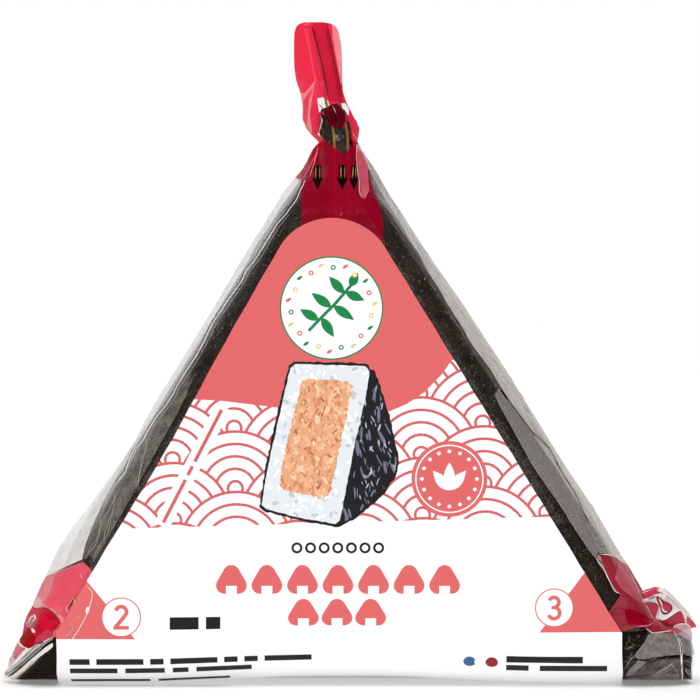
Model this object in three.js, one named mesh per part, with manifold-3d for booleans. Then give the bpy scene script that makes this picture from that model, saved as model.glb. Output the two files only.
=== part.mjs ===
// A triangular rice ball in its retail wrapper: nori-covered rice sealed in clear film, with a pull
// tab above the apex, a folded film ear at each lower corner, and a printed label on the front that
// wraps under the base. The bag with what it holds is one closed solid, and the label is another.
// Units are millimetres. +Z is up and the front faces -Y. The origin is on the ground, below the
// middle of the whole pack.
import * as THREE from "three";
import { mergeVertices } from "three/addons/utils/BufferGeometryUtils.js";
import Module from "manifold-3d";

const wasm = await Module();
wasm.setup();

const { degToRad, lerp, clamp, smoothstep } = THREE.MathUtils;

// Label: a rounded triangle on the front face, with a straight band that wraps under the base.
const labelThickness = 0.4;
const labelGap = 0.3;
const labelStack = labelGap + labelThickness;
const labelPeak = 83.65; // where the label's slanted edges would meet
const labelHalfAngle = degToRad(30.8);
const labelCapRadius = 9.8;
const labelShoulder = 8.75; // height where the slanted edges end and the straight band begins
const labelShiftX = -0.6;
const labelUnderReach = 8; // how far past the middle of the base the label runs
const labelFlare = 0.45; // how much wider each way the band is by the time it lies under the base

// Wrapped body: a bevelled triangular block.
const bodyPeak = 92.45; // where the body's slanted sides would meet
const halfAngle = degToRad(31.9);
const halfDepth = 15.3;
const bodyY = labelStack / 2; // the body sits back by half the label, so that the whole is centred
const baseZ = labelStack;
const apexRadius = 8;
const cornerRadius = 7;
const sideDraft = 2.3; // how far each slanted wall leans in from the middle to the front bevel
const sideBevel = 2.6;
const sideBevelStart = 0.72; // share of the half depth where the side's bevel begins
const baseBevel = 6.5;
const baseBevelStart = 0.35;
const smallestRadius = 1.6;
const tentStart = 74; // height where the film leaves the rice and closes in towards the neck
const tentEnd = 88;
const tentPinch = 0.74; // share of the depth that is lost by then

// Set of the soft pack as it stands: it leans, its base arches, and its sides swell.
const axisX = -0.9;
const lean = Math.tan(degToRad(1));
const archHeight = 1.2;
const archHalfSpan = 34;
const archFade = 14; // height over which the arch dies out
const swells = [
  { side: -1, height: 22, reach: 7, amount: 1.4 },
  { side: -1, height: 38, reach: 4, amount: -0.5 },
  { side: 1, height: 50, reach: 16, amount: 0.75 },
  { side: 1, height: 27, reach: 7, amount: 0.5 },
];

// Film drawn up into the neck, and the folded pull tab above it. Each station has its height, the
// middle of its width, half its width and half its depth.
const tabStations = [
  { z: 70, x: 0.2, halfWidth: 8.5, halfDepth: 9 },
  { z: 77.2, x: 0.2, halfWidth: 8.9, halfDepth: 9.4 },
  { z: 81.2, x: 0.2, halfWidth: 6.9, halfDepth: 8 },
  { z: 84.2, x: 0.2, halfWidth: 4.6, halfDepth: 5.2 },
  { z: 86.9, x: 0.4, halfWidth: 3.2, halfDepth: 2.7 },
  { z: 89.2, x: -0.3, halfWidth: 4.3, halfDepth: 2 },
  { z: 91.4, x: -0.8, halfWidth: 4.1, halfDepth: 1.5 },
  { z: 94.4, x: -1.7, halfWidth: 3.5, halfDepth: 1.2 },
  { z: 98.8, x: -2.35, halfWidth: 3.8, halfDepth: 1 },
  { z: 103.2, x: -2.5, halfWidth: 3.75, halfDepth: 0.9 },
  { z: 105.5, x: -2.6, halfWidth: 3.2, halfDepth: 0.8 },
  { z: 106.35, x: -2.7, halfWidth: 2.3, halfDepth: 0.6 },
];
const tabCreases = [-0.32, 0.38]; // places of the lengthwise creases, as shares of the half width
const tabCreaseDepth = 0.45;
const tabCreaseWidth = 0.16;

// Film ears. Each station has its place along X, its lowest and highest point and half its depth.
const leftTail = [
  { x: -41, low: 2.6, high: 17, halfDepth: 12 },
  { x: -48.5, low: 1.4, high: 15.6, halfDepth: 11 },
  { x: -51.4, low: 1, high: 10.9, halfDepth: 8 },
  { x: -53.8, low: 0.8, high: 6.4, halfDepth: 4.4 },
  { x: -56.05, low: 0.7, high: 1.4, halfDepth: 0.8 },
];
const rightPocket = [
  { x: 38, low: 1.6, high: 10, halfDepth: 12.5 },
  { x: 47, low: 0.7, high: 9.3, halfDepth: 12 },
  { x: 50.5, low: 0.5, high: 8.9, halfDepth: 8 },
  { x: 52.9, low: 0.4, high: 8.5, halfDepth: 0.9 },
  { x: 55.3, low: 0.5, high: 8.3, halfDepth: 0.5 },
];
const rightFin = [
  { x: 43, low: 7.4, high: 14, halfDepth: 7.5 },
  { x: 49, low: 7.6, high: 15.4, halfDepth: 6.2 },
  { x: 51.6, low: 7.8, high: 14.7, halfDepth: 4.6 },
  { x: 53.9, low: 8, high: 12.1, halfDepth: 2.6 },
  { x: 56.05, low: 8.6, high: 9.3, halfDepth: 0.6 },
];

// How far the slanted walls and the base draw in at a share of the half depth, from 0 at the
// middle of the pack to 1 at its front or back face.
function ellipticBevel(share, start, size) {
  const part = clamp((share - start) / (1 - start), 0, 1);
  return size * (1 - Math.sqrt(1 - part * part));
}
const sideInset = (share) =>
  sideDraft * share + ellipticBevel(share, sideBevelStart, sideBevel);
const baseInset = (share) => ellipticBevel(share, baseBevelStart, baseBevel);

// Outward swelling of a slanted side at a height, full at mid depth and none at the faces.
function swelling(side, height, share) {
  const total = swells
    .filter((swell) => swell.side === side)
    .reduce(
      (sum, { height: at, reach, amount }) =>
        sum + amount * Math.exp(-(((height - at) / reach) ** 2)),
      0,
    );
  return side * total * (1 - share * share);
}

// Moves a point of the straight, level pack to where it lies on the leaning, arched one.
function settled(x, y, z) {
  const across = clamp(1 - (x / archHalfSpan) ** 2, 0, 1);
  const lift = archHeight * across * across * clamp(1 - z / archFade, 0, 1);
  return new THREE.Vector3(x + axisX - lean * z, y + bodyY, z + lift);
}

// Share of the depth left at a height, as the front and back draw together above the rice.
const tented = (z) => 1 - tentPinch * smoothstep(z, tentStart, tentEnd);

// Right half of the outline at a share of the half depth, from the middle of the base round to the
// apex, as { x, z }. The mirrored half closes it.
const baseSteps = 9;
const cornerSteps = 5;
const sideSteps = 20;
const apexSteps = 4;
function halfOutline(share) {
  const inset = sideInset(share);
  const floor = baseZ + baseInset(share);
  const peak = bodyPeak - inset / Math.sin(halfAngle);
  const corner = Math.max(cornerRadius - inset, smallestRadius);
  const apex = Math.max(apexRadius - inset, smallestRadius);
  const cornerTurn = Math.PI / 2 + halfAngle; // the outline turns by this at a lower corner
  const cornerX =
    (peak - floor) * Math.tan(halfAngle) - corner * Math.tan(cornerTurn / 2);
  const apexZ = peak - apex / Math.sin(halfAngle);
  const points = [];
  for (let i = 0; i < baseSteps; i++)
    points.push({ x: (cornerX * i) / baseSteps, z: floor });
  for (let i = 0; i <= cornerSteps; i++) {
    const turn = -Math.PI / 2 + (cornerTurn * i) / cornerSteps;
    points.push({
      x: cornerX + corner * Math.cos(turn),
      z: floor + corner + corner * Math.sin(turn),
    });
  }
  const foot = points.at(-1);
  const head = {
    x: apex * Math.cos(halfAngle),
    z: apexZ + apex * Math.sin(halfAngle),
  };
  for (let i = 1; i < sideSteps; i++)
    points.push({
      x: lerp(foot.x, head.x, i / sideSteps),
      z: lerp(foot.z, head.z, i / sideSteps),
    });
  for (let i = 0; i <= apexSteps; i++) {
    const turn = lerp(halfAngle, Math.PI / 2, i / apexSteps);
    points.push({
      x: apex * Math.cos(turn),
      z: apexZ + apex * Math.sin(turn),
    });
  }
  return points;
}

// Closed ring of the body at a place through its depth, counter-clockwise seen from the front.
function bodyRing(y) {
  const share = Math.abs(y) / halfDepth;
  const right = halfOutline(share);
  const left = right.slice(1, -1).reverse();
  const placed = (side, { x, z }) =>
    settled(side * x + swelling(side, z, share), y * tented(z), z);
  return [
    ...right.map((point) => placed(1, point)),
    ...left.map((point) => placed(-1, point)),
  ];
}

// Triangles from the middle of a ring to its edge, in the ring's own direction.
function fanCap(ring) {
  const middle = ring
    .reduce((sum, point) => sum.add(point), new THREE.Vector3())
    .divideScalar(ring.length);
  return ring.map((point, i) => [middle, point, ring[(i + 1) % ring.length]]);
}

// Triangles across a body ring in level rows, so that the face bends only where the tent begins.
// Below the slanted sides they fan out from the middle of the lowest row.
function rowCap(ring) {
  const apexIndex = ring.length / 2;
  const foot = baseSteps + cornerSteps;
  const right = (i) => ring[i];
  const left = (i) => ring[(ring.length - i) % ring.length];
  const hub = right(foot).clone().add(left(foot)).multiplyScalar(0.5);
  const triangles = [];
  for (let i = 0; i <= foot; i++) {
    triangles.push([hub, right(i), right(i + 1)]);
    triangles.push([hub, left(i + 1), left(i)]);
  }
  triangles.push([hub, right(foot + 1), left(foot + 1)]);
  for (let i = foot + 1; i < apexIndex; i++) {
    triangles.push([right(i), right(i + 1), left(i)]);
    if (i + 1 < apexIndex)
      triangles.push([right(i + 1), left(i + 1), left(i)]);
  }
  return triangles;
}

// Closed solid through rings of equal length, with a cap at each end.
function loft(rings, cap = fanCap) {
  const count = rings[0].length;
  const triangles = [
    ...cap(rings[0]).map((corners) => corners.reverse()),
    ...cap(rings.at(-1)),
  ];
  for (let r = 0; r < rings.length - 1; r++)
    for (let i = 0; i < count; i++) {
      const j = (i + 1) % count;
      triangles.push([rings[r][i], rings[r][j], rings[r + 1][j]]);
      triangles.push([rings[r][i], rings[r + 1][j], rings[r + 1][i]]);
    }
  const positions = triangles.flat().flatMap((point) => point.toArray());
  return new THREE.BufferGeometry().setAttribute(
    "position",
    new THREE.Float32BufferAttribute(positions, 3),
  );
}

// manifold-3d solid of a closed geometry, and back. A loft whose rings ran the other way comes out
// inside out, so its faces are turned round.
const weldDistance = 1e-4;
function toSolid(geometry) {
  const welded = mergeVertices(geometry, weldDistance);
  const build = (triVerts) =>
    new wasm.Manifold(
      new wasm.Mesh({
        numProp: 3,
        vertProperties: welded.attributes.position.array,
        triVerts,
      }),
    );
  const corners = new Uint32Array(welded.index.array);
  const solid = build(corners);
  return solid.volume() > 0 ? solid : build(corners.reverse());
}

function toGeometry(solid) {
  const { vertProperties, triVerts } = solid.getMesh();
  return new THREE.BufferGeometry()
    .setAttribute("position", new THREE.BufferAttribute(vertProperties, 3))
    .setIndex(new THREE.BufferAttribute(triVerts, 1));
}

// The bevelled block that the film is drawn round. The rings crowd towards the bevels.
const depthSteps = 16;
function bodySolid() {
  const rings = [];
  for (let i = 0; i <= depthSteps; i++) {
    const y = -halfDepth * Math.cos((Math.PI * i) / depthSteps);
    rings.push(bodyRing(y));
  }
  return toSolid(loft(rings, rowCap));
}

// Neck and pull tab: flat oval sections whose front and back faces carry the lengthwise creases.
const tabSides = 28;
function tabSolid() {
  const rings = tabStations.map(({ z, x, halfWidth, halfDepth: half }) => {
    const ring = [];
    for (let i = 0; i < tabSides; i++) {
      const turn = (2 * Math.PI * i) / tabSides;
      const across = Math.cos(turn);
      const crease = tabCreases.reduce(
        (sum, at) => sum + Math.exp(-(((across - at) / tabCreaseWidth) ** 2)),
        0,
      );
      const thin = half * (1 - tabCreaseDepth * crease);
      ring.push(
        settled(x + halfWidth * across, thin * Math.sin(turn), z),
      );
    }
    return ring;
  });
  return toSolid(loft(rings));
}

// A film ear: sections with a ridge along the top, a fold on each side and a flat underside, as a
// film corner has when it is pressed together.
function earSolid(stations) {
  const foldHeight = 0.38;
  const shoulderHeight = 0.78;
  const shoulderDepth = 0.6;
  const footDepth = 0.72;
  const rings = stations.map(({ x, low, high, halfDepth: half }) => {
    const at = (share) => lerp(low, high, share);
    const section = [
      [0, high],
      [shoulderDepth, at(shoulderHeight)],
      [1, at(foldHeight)],
      [footDepth, low],
      [-footDepth, low],
      [-1, at(foldHeight)],
      [-shoulderDepth, at(shoulderHeight)],
    ];
    return section.map(([y, z]) => new THREE.Vector3(x, y * half + bodyY, z));
  });
  return toSolid(loft(rings));
}

// Half the label's width at a height on the front face.
function labelHalfWidth(z) {
  const capZ = labelPeak - labelCapRadius / Math.sin(labelHalfAngle);
  const tangentZ = capZ + labelCapRadius * Math.sin(labelHalfAngle);
  if (z > tangentZ)
    return Math.sqrt(Math.max(labelCapRadius ** 2 - (z - capZ) ** 2, 0));
  return (labelPeak - Math.max(z, labelShoulder)) * Math.tan(labelHalfAngle);
}

// The label's run from its rounded top down the front, round the base bevel and under the base, as
// points { y, z } with the outward direction { ny, nz } and the half width there.
function labelRun() {
  const capZ = labelPeak - labelCapRadius / Math.sin(labelHalfAngle);
  const capTop = capZ + labelCapRadius;
  const bend = baseZ + baseBevel;
  const run = [];
  const onFront = (z) =>
    run.push({ y: -halfDepth, z, ny: -1, nz: 0, half: labelHalfWidth(z) });
  const capSteps = 9;
  for (let i = 0; i <= capSteps; i++) {
    const turn = lerp(Math.PI / 2 - 0.06, labelHalfAngle, i / capSteps);
    onFront(i ? capZ + labelCapRadius * Math.sin(turn) : capTop - 0.02);
  }
  const frontSteps = 6;
  const frontTop = run.at(-1).z;
  for (let i = 1; i <= frontSteps; i++)
    onFront(lerp(frontTop, labelShoulder, i / frontSteps));
  const bandHalf = labelHalfWidth(labelShoulder);
  const depth = halfDepth * (1 - baseBevelStart);
  const bevelSteps = 10;
  for (let i = 0; i <= bevelSteps; i++) {
    const turn = (Math.PI / 2) * (i / bevelSteps);
    const normal = new THREE.Vector2(
      Math.cos(turn) / depth,
      Math.sin(turn) / baseBevel,
    ).normalize();
    run.push({
      y: -halfDepth * baseBevelStart - depth * Math.cos(turn),
      z: bend - baseBevel * Math.sin(turn),
      ny: -normal.x,
      nz: -normal.y,
      half: bandHalf + labelFlare * (i / bevelSteps),
    });
  }
  run.push({
    y: labelUnderReach,
    z: baseZ,
    ny: 0,
    nz: -1,
    half: bandHalf + labelFlare,
  });
  return run;
}

// The label as a closed sheet: each step of the run is a thin strip across the pack, whose inner
// side keeps its gap to the film.
const labelColumns = 14;
function labelSolid() {
  const rings = labelRun().map(({ y, z, ny, nz, half }) => {
    const row = (offset) =>
      Array.from({ length: labelColumns + 1 }, (_, i) => {
        const x = labelShiftX + half * ((2 * i) / labelColumns - 1);
        return settled(x, y + ny * offset, z + nz * offset);
      });
    return [...row(labelStack), ...row(labelGap).reverse()];
  });
  return toSolid(loft(rings));
}

const materials = {
  film: new THREE.MeshStandardMaterial({
    color: 0x3a342d,
    roughness: 0.22,
    metalness: 0,
  }),
  label: new THREE.MeshStandardMaterial({
    color: 0xf2c4c2,
    roughness: 0.45,
    metalness: 0,
  }),
};

function part(name, solid, material) {
  const mesh = new THREE.Mesh(toGeometry(solid), material);
  mesh.name = name;
  return mesh;
}

const filmPack = [
  tabSolid(),
  earSolid(leftTail),
  earSolid(rightPocket),
  earSolid(rightFin),
].reduce((whole, piece) => whole.add(piece), bodySolid());

const pack = new THREE.Group();
pack.add(part("film_pack", filmPack, materials.film));
pack.add(part("label", labelSolid(), materials.label));

export default pack;
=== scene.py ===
import math
import random

import bmesh
import bpy
import numpy as np
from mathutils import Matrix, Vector, noise
from mathutils.bvhtree import BVHTree
from mathutils.geometry import delaunay_2d_cdt


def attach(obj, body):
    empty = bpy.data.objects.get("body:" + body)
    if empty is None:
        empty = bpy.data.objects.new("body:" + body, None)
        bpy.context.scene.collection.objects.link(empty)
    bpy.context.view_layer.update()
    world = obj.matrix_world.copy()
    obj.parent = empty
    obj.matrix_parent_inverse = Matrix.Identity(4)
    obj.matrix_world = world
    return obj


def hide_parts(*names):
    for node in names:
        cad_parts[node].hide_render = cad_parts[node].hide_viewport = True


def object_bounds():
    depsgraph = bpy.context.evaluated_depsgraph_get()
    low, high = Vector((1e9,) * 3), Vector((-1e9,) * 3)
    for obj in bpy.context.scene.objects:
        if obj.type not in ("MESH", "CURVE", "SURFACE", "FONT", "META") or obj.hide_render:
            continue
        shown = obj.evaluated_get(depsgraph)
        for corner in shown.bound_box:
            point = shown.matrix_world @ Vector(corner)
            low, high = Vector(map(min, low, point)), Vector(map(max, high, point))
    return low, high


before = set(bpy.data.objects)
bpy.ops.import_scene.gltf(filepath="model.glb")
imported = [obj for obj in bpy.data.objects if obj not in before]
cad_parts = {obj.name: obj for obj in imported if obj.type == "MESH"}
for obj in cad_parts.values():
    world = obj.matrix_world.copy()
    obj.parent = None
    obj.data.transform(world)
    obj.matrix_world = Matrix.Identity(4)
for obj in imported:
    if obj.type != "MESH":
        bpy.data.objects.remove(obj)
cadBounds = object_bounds()
mm = 0.001


def linear(hexColour):
    channels = [int(hexColour[i:i + 2], 16) / 255 for i in (1, 3, 5)]
    return [c / 12.92 if c <= 0.04045 else ((c + 0.055) / 1.055) ** 2.4 for c in channels]


def addNode(tree, kind, inputs=None, **settings):
    # inputs may be values, sockets that drive them, or nodes whose first output does
    node = tree.nodes.new(kind)
    for name, value in settings.items():
        setattr(node, name, value)
    for name, value in (inputs or {}).items():
        socket = node.inputs[name]
        if isinstance(value, bpy.types.Node):
            value = value.outputs[0]
        if isinstance(value, bpy.types.NodeSocket):
            tree.links.new(value, socket)
        elif socket.type == "RGBA":
            socket.default_value = (*value, 1)
        else:
            socket.default_value = value
    return node


def newMaterial(name):
    material = bpy.data.materials.new(name)
    material.use_nodes = True
    material.node_tree.nodes.clear()
    return material, material.node_tree


def finishMaterial(tree, surface):
    addNode(tree, "ShaderNodeOutputMaterial", {"Surface": surface})


def smoothStep(value, low, high):
    part = np.clip((value - low) / (high - low), 0, 1)
    return part * part * (3 - 2 * part)


def makePiece(name, points, faces, materials, faceMaterials=None):
    mesh = bpy.data.meshes.new(name)
    mesh.from_pydata([tuple(p) for p in np.asarray(points) * mm], [], [tuple(f) for f in faces])
    for material in materials:
        mesh.materials.append(material)
    if faceMaterials is not None:
        mesh.polygons.foreach_set("material_index", faceMaterials)
    mesh.polygons.foreach_set("use_smooth", [True] * len(mesh.polygons))
    mesh.validate()
    piece = bpy.data.objects.new(name, mesh)
    bpy.context.collection.objects.link(piece)
    return piece


def gridFaces(rows, columns, closed=False):
    # quads of a grid of points stored row by row
    faces = []
    for r in range(rows - 1):
        for c in range(columns if closed else columns - 1):
            d = (c + 1) % columns
            a, b = r * columns, (r + 1) * columns
            faces.append((a + c, a + d, b + d, b + c))
    return faces


def placed(piece, node):
    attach(piece, "root")
    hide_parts(node)


# camera and studio
view = {
    "distance": 740,    # mm from the middle of the pack
    "height": 53.45,    # level with the middle of the pack
    "sideways": 0.08,
    "frameWidth": 112.9,    # mm across the picture at the pack's middle
    "sensor": 36,
    "clipStart": 0.05,
}
camera = bpy.data.objects.new("camera", bpy.data.cameras.new("camera"))
camera.location = (view["sideways"] * mm, -view["distance"] * mm, view["height"] * mm)
camera.rotation_euler = (math.pi / 2, 0, 0)
camera.data.sensor_width = view["sensor"]
camera.data.lens = view["sensor"] * view["distance"] / view["frameWidth"]
camera.data.clip_start = view["clipStart"]
bpy.context.collection.objects.link(camera)
bpy.context.scene.camera = camera

studio = {
    "behind": 1,      # white sweep behind the pack, which the slanted film walls mirror
    "front": 0.05,      # the dim room on the camera's side keeps the front film clear
    "brightWay": (-0.27, 0.96, 0.06),   # the room is brightest behind and to the left
    "dimFrom": 0.3,
    "brightFrom": 0.92,
    "rightWall": (0.12, 0.42, 0.27),     # from where to where the right wall darkens, and to what share
    # strength, angular size in degrees, direction and whether the film mirrors each soft lamp
    "lamps": {
        "key": (0.25, 50, (-0.45, -0.8, 0.62), False),
        "low": (0.75, 45, (0.1, -1, 0.06), False),
        "top": (2.5, 70, (0.1, -0.3, 1), False),
        "bounce": (0.15, 60, (0, -0.6, -0.8), False),
        "glint": (0.35, 14, (-0.3, -0.75, 0.8), True),
    },
    "floorRadius": 60,      # in metres, as a disc with this many corners
    "floorCorners": 64,
    "floorColour": "#E3E3E2",
    "floorGlow": 0.2,      # lit from below, like an acrylic table
}


def buildStudio():
    bpy.context.scene.view_settings.view_transform = "Standard"
    world = bpy.data.worlds.new("studioRoom")
    bpy.context.scene.world = world
    world.use_nodes = True
    tree = world.node_tree
    tree.nodes.clear()
    way = addNode(tree, "ShaderNodeTexCoord").outputs["Generated"]
    axes = addNode(tree, "ShaderNodeSeparateXYZ", {0: way})
    toward = addNode(tree, "ShaderNodeVectorMath", {0: way, 1: studio["brightWay"]}, operation="DOT_PRODUCT")
    room = addNode(tree, "ShaderNodeMapRange", {
        "Value": toward.outputs["Value"], "From Min": studio["dimFrom"], "From Max": studio["brightFrom"],
        "To Min": studio["front"], "To Max": studio["behind"]}, interpolation_type="SMOOTHSTEP")
    start, end, share = studio["rightWall"]
    wall = addNode(tree, "ShaderNodeMapRange", {
        "Value": axes.outputs["X"], "From Min": start, "From Max": end, "To Min": 1, "To Max": share})
    both = addNode(tree, "ShaderNodeMath", {0: room, 1: wall}, operation="MULTIPLY")
    light = addNode(tree, "ShaderNodeBackground", {"Color": (1, 1, 1), "Strength": both})
    addNode(tree, "ShaderNodeOutputWorld", {"Surface": light})

    for name, (strength, width, toward, mirrored) in studio["lamps"].items():
        lamp = bpy.data.objects.new(name + "Softbox", bpy.data.lights.new(name, "SUN"))
        lamp.data.energy = strength
        lamp.data.angle = math.radians(width)
        lamp.rotation_euler = Vector(toward).to_track_quat("Z", "Y").to_euler()
        lamp.visible_glossy = mirrored
        bpy.context.collection.objects.link(lamp)

    material, tree = newMaterial("paintedStudioFloor")
    paint = addNode(tree, "ShaderNodeBsdfPrincipled", {
        "Base Color": linear(studio["floorColour"]), "Roughness": 0.9, "Emission Color": (1, 1, 1),
        "Emission Strength": studio["floorGlow"]})
    finishMaterial(tree, paint)
    corners = studio["floorCorners"]
    turns = np.linspace(0, 2 * math.pi, corners, endpoint=False)
    rim = np.stack([np.cos(turns), np.sin(turns), 0 * turns], -1) * studio["floorRadius"] / mm
    floor = makePiece("studioFloor", rim, [tuple(range(corners))], [material])
    floor.visible_shadow = False    # lets the low bounce reach the pack's underside


buildStudio()
print("stage: camera and studio")


# form of the wrapped rice ball
wrapForm = {
    "peak": 92.45,          # where the slanted sides would meet
    "halfAngle": math.radians(31.9),
    "halfDepth": 15.3,
    "midY": 0.35,
    "floor": 0.7,
    "sideDraft": 2.3,
    "sideBevel": 2.6,
    "sideBevelStart": 0.72,
    "baseBevel": 6.5,
    "baseBevelStart": 0.35,
    "cornerRadius": 7,
    "smallestRadius": 1.6,
    "axisX": -0.9,
    "lean": math.tan(math.radians(1)),
    "archHeight": 1.2,
    "archHalfSpan": 34,
    "archFade": 14,         # the base bows up in its middle, less and less up to this height
    "tentStart": 74,        # between these heights the pack narrows to a tent, to this much less depth
    "tentEnd": 88,
    "tentPinch": 0.74,
    "neckFrom": 78,         # between these heights the section turns from a block's to a neck's
    "neckTo": 86.5,
    "top": 106.33,
    "rowStep": 0.5,
    "clingBelow": 7.4,      # the film clings to the seaweed below this height
    "cornerTurn": math.radians(52),     # where the block's corner lies on the oval neck
    "stripFrom": 0.55,
    "stripColumns": 34,     # narrow columns beside the label
    "middleColumns": 34,    # wide ones across the middle
    "sideColumns": 48,
    # side, height, reach and amount of each soft swelling of the slanted sides
    "swells": [(-1, 22, 7, 1.4), (-1, 38, 4, -0.5), (1, 50, 16, 0.75), (1, 27, 7, 0.5)],
    # the film's outer edge at the lower corners: height and distance from the middle
    "leftEdge": [(0.7, 55.7), (2.6, 55), (6.2, 53.4), (9.6, 51.4), (12.3, 49.8), (13.4, 50.2), (16.5, 49.3)],
    "rightEdge": [(0.7, 54.6), (2.8, 54.85), (4.1, 55.1), (7.3, 54.9), (8.3, 53.5), (9.4, 51.2),
        (11.5, 49.6)],
    "leftPoint": (0.9, 2, 1.4),   # how the corner's film narrows to an edge across the depth
    "rightPoint": (1, 5, 0.8),
    # neck and pull tab: height, middle, half width and half depth
    "upper": [
        (76, -2, 10.2, 13.8), (79.6, -1.4, 7.5, 11.2), (81.5, -1.3, 6.3, 9), (83.4, -1.5, 5.2, 6.6),
        (85.3, -1.8, 3.95, 4.4), (86.9, -1.8, 3, 2.6), (88, -2.3, 3.75, 2.1), (89.2, -2.75, 4.35, 1.9),
        (91.2, -3.45, 4.05, 1.6), (93.1, -4, 3.6, 1.35), (95.1, -4.5, 3.45, 1.2), (97, -4.9, 3.7, 1.1),
        (99, -5.05, 3.85, 1), (100.9, -5.08, 3.87, 0.95), (102.8, -5.15, 3.8, 0.9),
        (104.6, -5.3, 3.6, 0.85), (105.3, -5.35, 3.4, 0.8), (105.85, -5.42, 3, 0.7),
        (106.2, -5.55, 2.3, 0.6), (106.33, -5.65, 1.6, 0.45)],
}


def bevelInset(share, start, size):
    part = np.clip((share - start) / (1 - start), 0, 1)
    return size * (1 - np.sqrt(1 - part * part))


def slantHalfWidth(z, share, side, form):
    # distance of a slanted wall from the middle, at a height and a share of the half depth
    share = np.abs(share)
    inset = form["sideDraft"] * share + bevelInset(share, form["sideBevelStart"], form["sideBevel"])
    peak = form["peak"] - inset / math.sin(form["halfAngle"])
    slope = math.tan(form["halfAngle"])
    corner = np.maximum(form["cornerRadius"] - inset, form["smallestRadius"])
    floor = form["floor"] + bevelInset(share, form["baseBevelStart"], form["baseBevel"])
    foot = (peak - floor) * slope - corner * math.tan(math.pi / 4 + form["halfAngle"] / 2)
    rise = np.maximum(z - floor, 0)
    rounded = foot + np.sqrt(np.maximum(corner**2 - (rise - corner)**2, 0))
    width = np.where(rise < corner * (1 + math.sin(form["halfAngle"])), rounded, (peak - z) * slope)
    for swellSide, height, reach, amount in form["swells"]:
        if swellSide == side:
            width = width + amount * np.exp(-((z - height) / reach)**2) * (1 - share**2)
    return width


def cornerReach(z, share, side, form):
    # how far the film runs out past the rice at a lower corner, drawn to an edge at mid depth
    heights, reaches = zip(*form["leftEdge" if side < 0 else "rightEdge"])
    middle = form["axisX"] - form["lean"] * z
    reach = np.interp(z, heights, reaches) - side * middle
    extra = np.maximum(reach - slantHalfWidth(z, 0 * z, side, form), 0)
    fade = 1 - smoothStep(z, heights[-1] - 2, heights[-1])
    span, power, sharpness = form["leftPoint" if side < 0 else "rightPoint"]
    return extra * fade * np.clip(1 - (np.abs(share) / span)**power, 0, 1)**sharpness


def settle(x, y, z, form):
    # from the straight, level pack to the leaning, arched one
    across = np.clip(1 - (x / form["archHalfSpan"])**2, 0, 1)
    lift = form["archHeight"] * across**2 * np.clip(1 - z / form["archFade"], 0, 1)
    return np.stack([x + form["axisX"] - form["lean"] * z, y + form["midY"] + 0 * x, z + lift], -1)


def ringColumns(form):
    # columns of a section from the left middle round the front, right and back:
    # share of the width, share of the depth and the turn they take on an oval neck
    corner, strips = form["cornerTurn"], form["stripFrom"]
    strip = np.linspace(-1, -strips, form["stripColumns"], endpoint=False)
    middle = np.linspace(-strips, strips, form["middleColumns"], endpoint=False)
    across = np.concatenate([strip, middle, [strips], -strip[:0:-1]])
    quarter = np.linspace(0, 1, form["sideColumns"] // 2, endpoint=False)
    whole = np.linspace(-1, 1, form["sideColumns"], endpoint=False)
    wide = np.concatenate([0 * quarter - 1, across, 0 * whole + 1, -across, 0 * quarter - 1])
    deep = np.concatenate([-quarter, 0 * across - 1, whole, 0 * across + 1, 1 - quarter])
    turn = np.concatenate([
        -math.pi / 2 + quarter * (math.pi / 2 - corner), across * corner,
        math.pi / 2 + whole * (math.pi / 2 - corner), math.pi + across * corner,
        math.pi + corner + quarter * (math.pi / 2 - corner)])
    return wide, deep, turn


def wrapSection(z, columns, form):
    wide, deep, turn = columns
    base = min(max(1 - (z - form["floor"]) / form["baseBevel"], 0), 1)
    share = deep * (form["baseBevelStart"] + (1 - form["baseBevelStart"]) * math.sqrt(1 - base * base))
    tent = 1 - form["tentPinch"] * smoothStep(z, form["tentStart"], form["tentEnd"])
    level = np.full_like(wide, z)
    left, right = (slantHalfWidth(level, share, side, form) + cornerReach(level, share, side, form)
        for side in (-1, 1))
    width = np.maximum(np.where(wide < 0, left, right), 0.2)
    block = settle(wide * width, share * form["halfDepth"] * tent, level, form)
    if z <= form["neckFrom"]:
        return block
    heights, *curves = (np.array(v) for v in zip(*form["upper"]))
    middle, halfWidth, halfDepth = (np.interp(z, heights, curve) for curve in curves)
    oval = np.stack([middle + halfWidth * np.sin(turn), form["midY"] - halfDepth * np.cos(turn), level], -1)
    blend = smoothStep(z, form["neckFrom"], form["neckTo"])
    return block * (1 - blend) + oval * blend


def wrapRows(form):
    top, step, low = form["top"], form["rowStep"], form["floor"]
    bevel = low + form["baseBevel"] * (1 - np.cos(np.linspace(0, math.pi / 2, 16)))
    body = np.arange(bevel[-1] + step, form["tentStart"], step)
    neck = np.arange(form["tentStart"], min(top - 0.6, 93), step * 0.6)
    tab = np.arange(93, top - 0.7, step)
    return np.concatenate([bevel, body, neck, tab, top - np.array([0.5, 0.3, 0.15, 0.05, 0])])


def wrapRings(form):
    columns = ringColumns(form)
    return np.stack([wrapSection(z, columns, form) for z in wrapRows(form)])


def ringNormals(rings):
    across = np.roll(rings, -1, 1) - np.roll(rings, 1, 1)
    up = np.gradient(rings, axis=0)
    normals = np.cross(across, up)
    return normals / np.maximum(np.linalg.norm(normals, axis=-1, keepdims=True), 1e-9)


def ringFaces(rowCount, count):
    # rings joined into a closed skin, with flat caps across the base and the top
    faces = gridFaces(rowCount, count, closed=True)
    last = (rowCount - 1) * count
    for i in range(count // 2):
        corners = list(dict.fromkeys([i, i + 1, count - i - 1, (count - i) % count]))
        faces.append(corners[::-1])
        faces.append([last + c for c in corners])
    return faces


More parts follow.
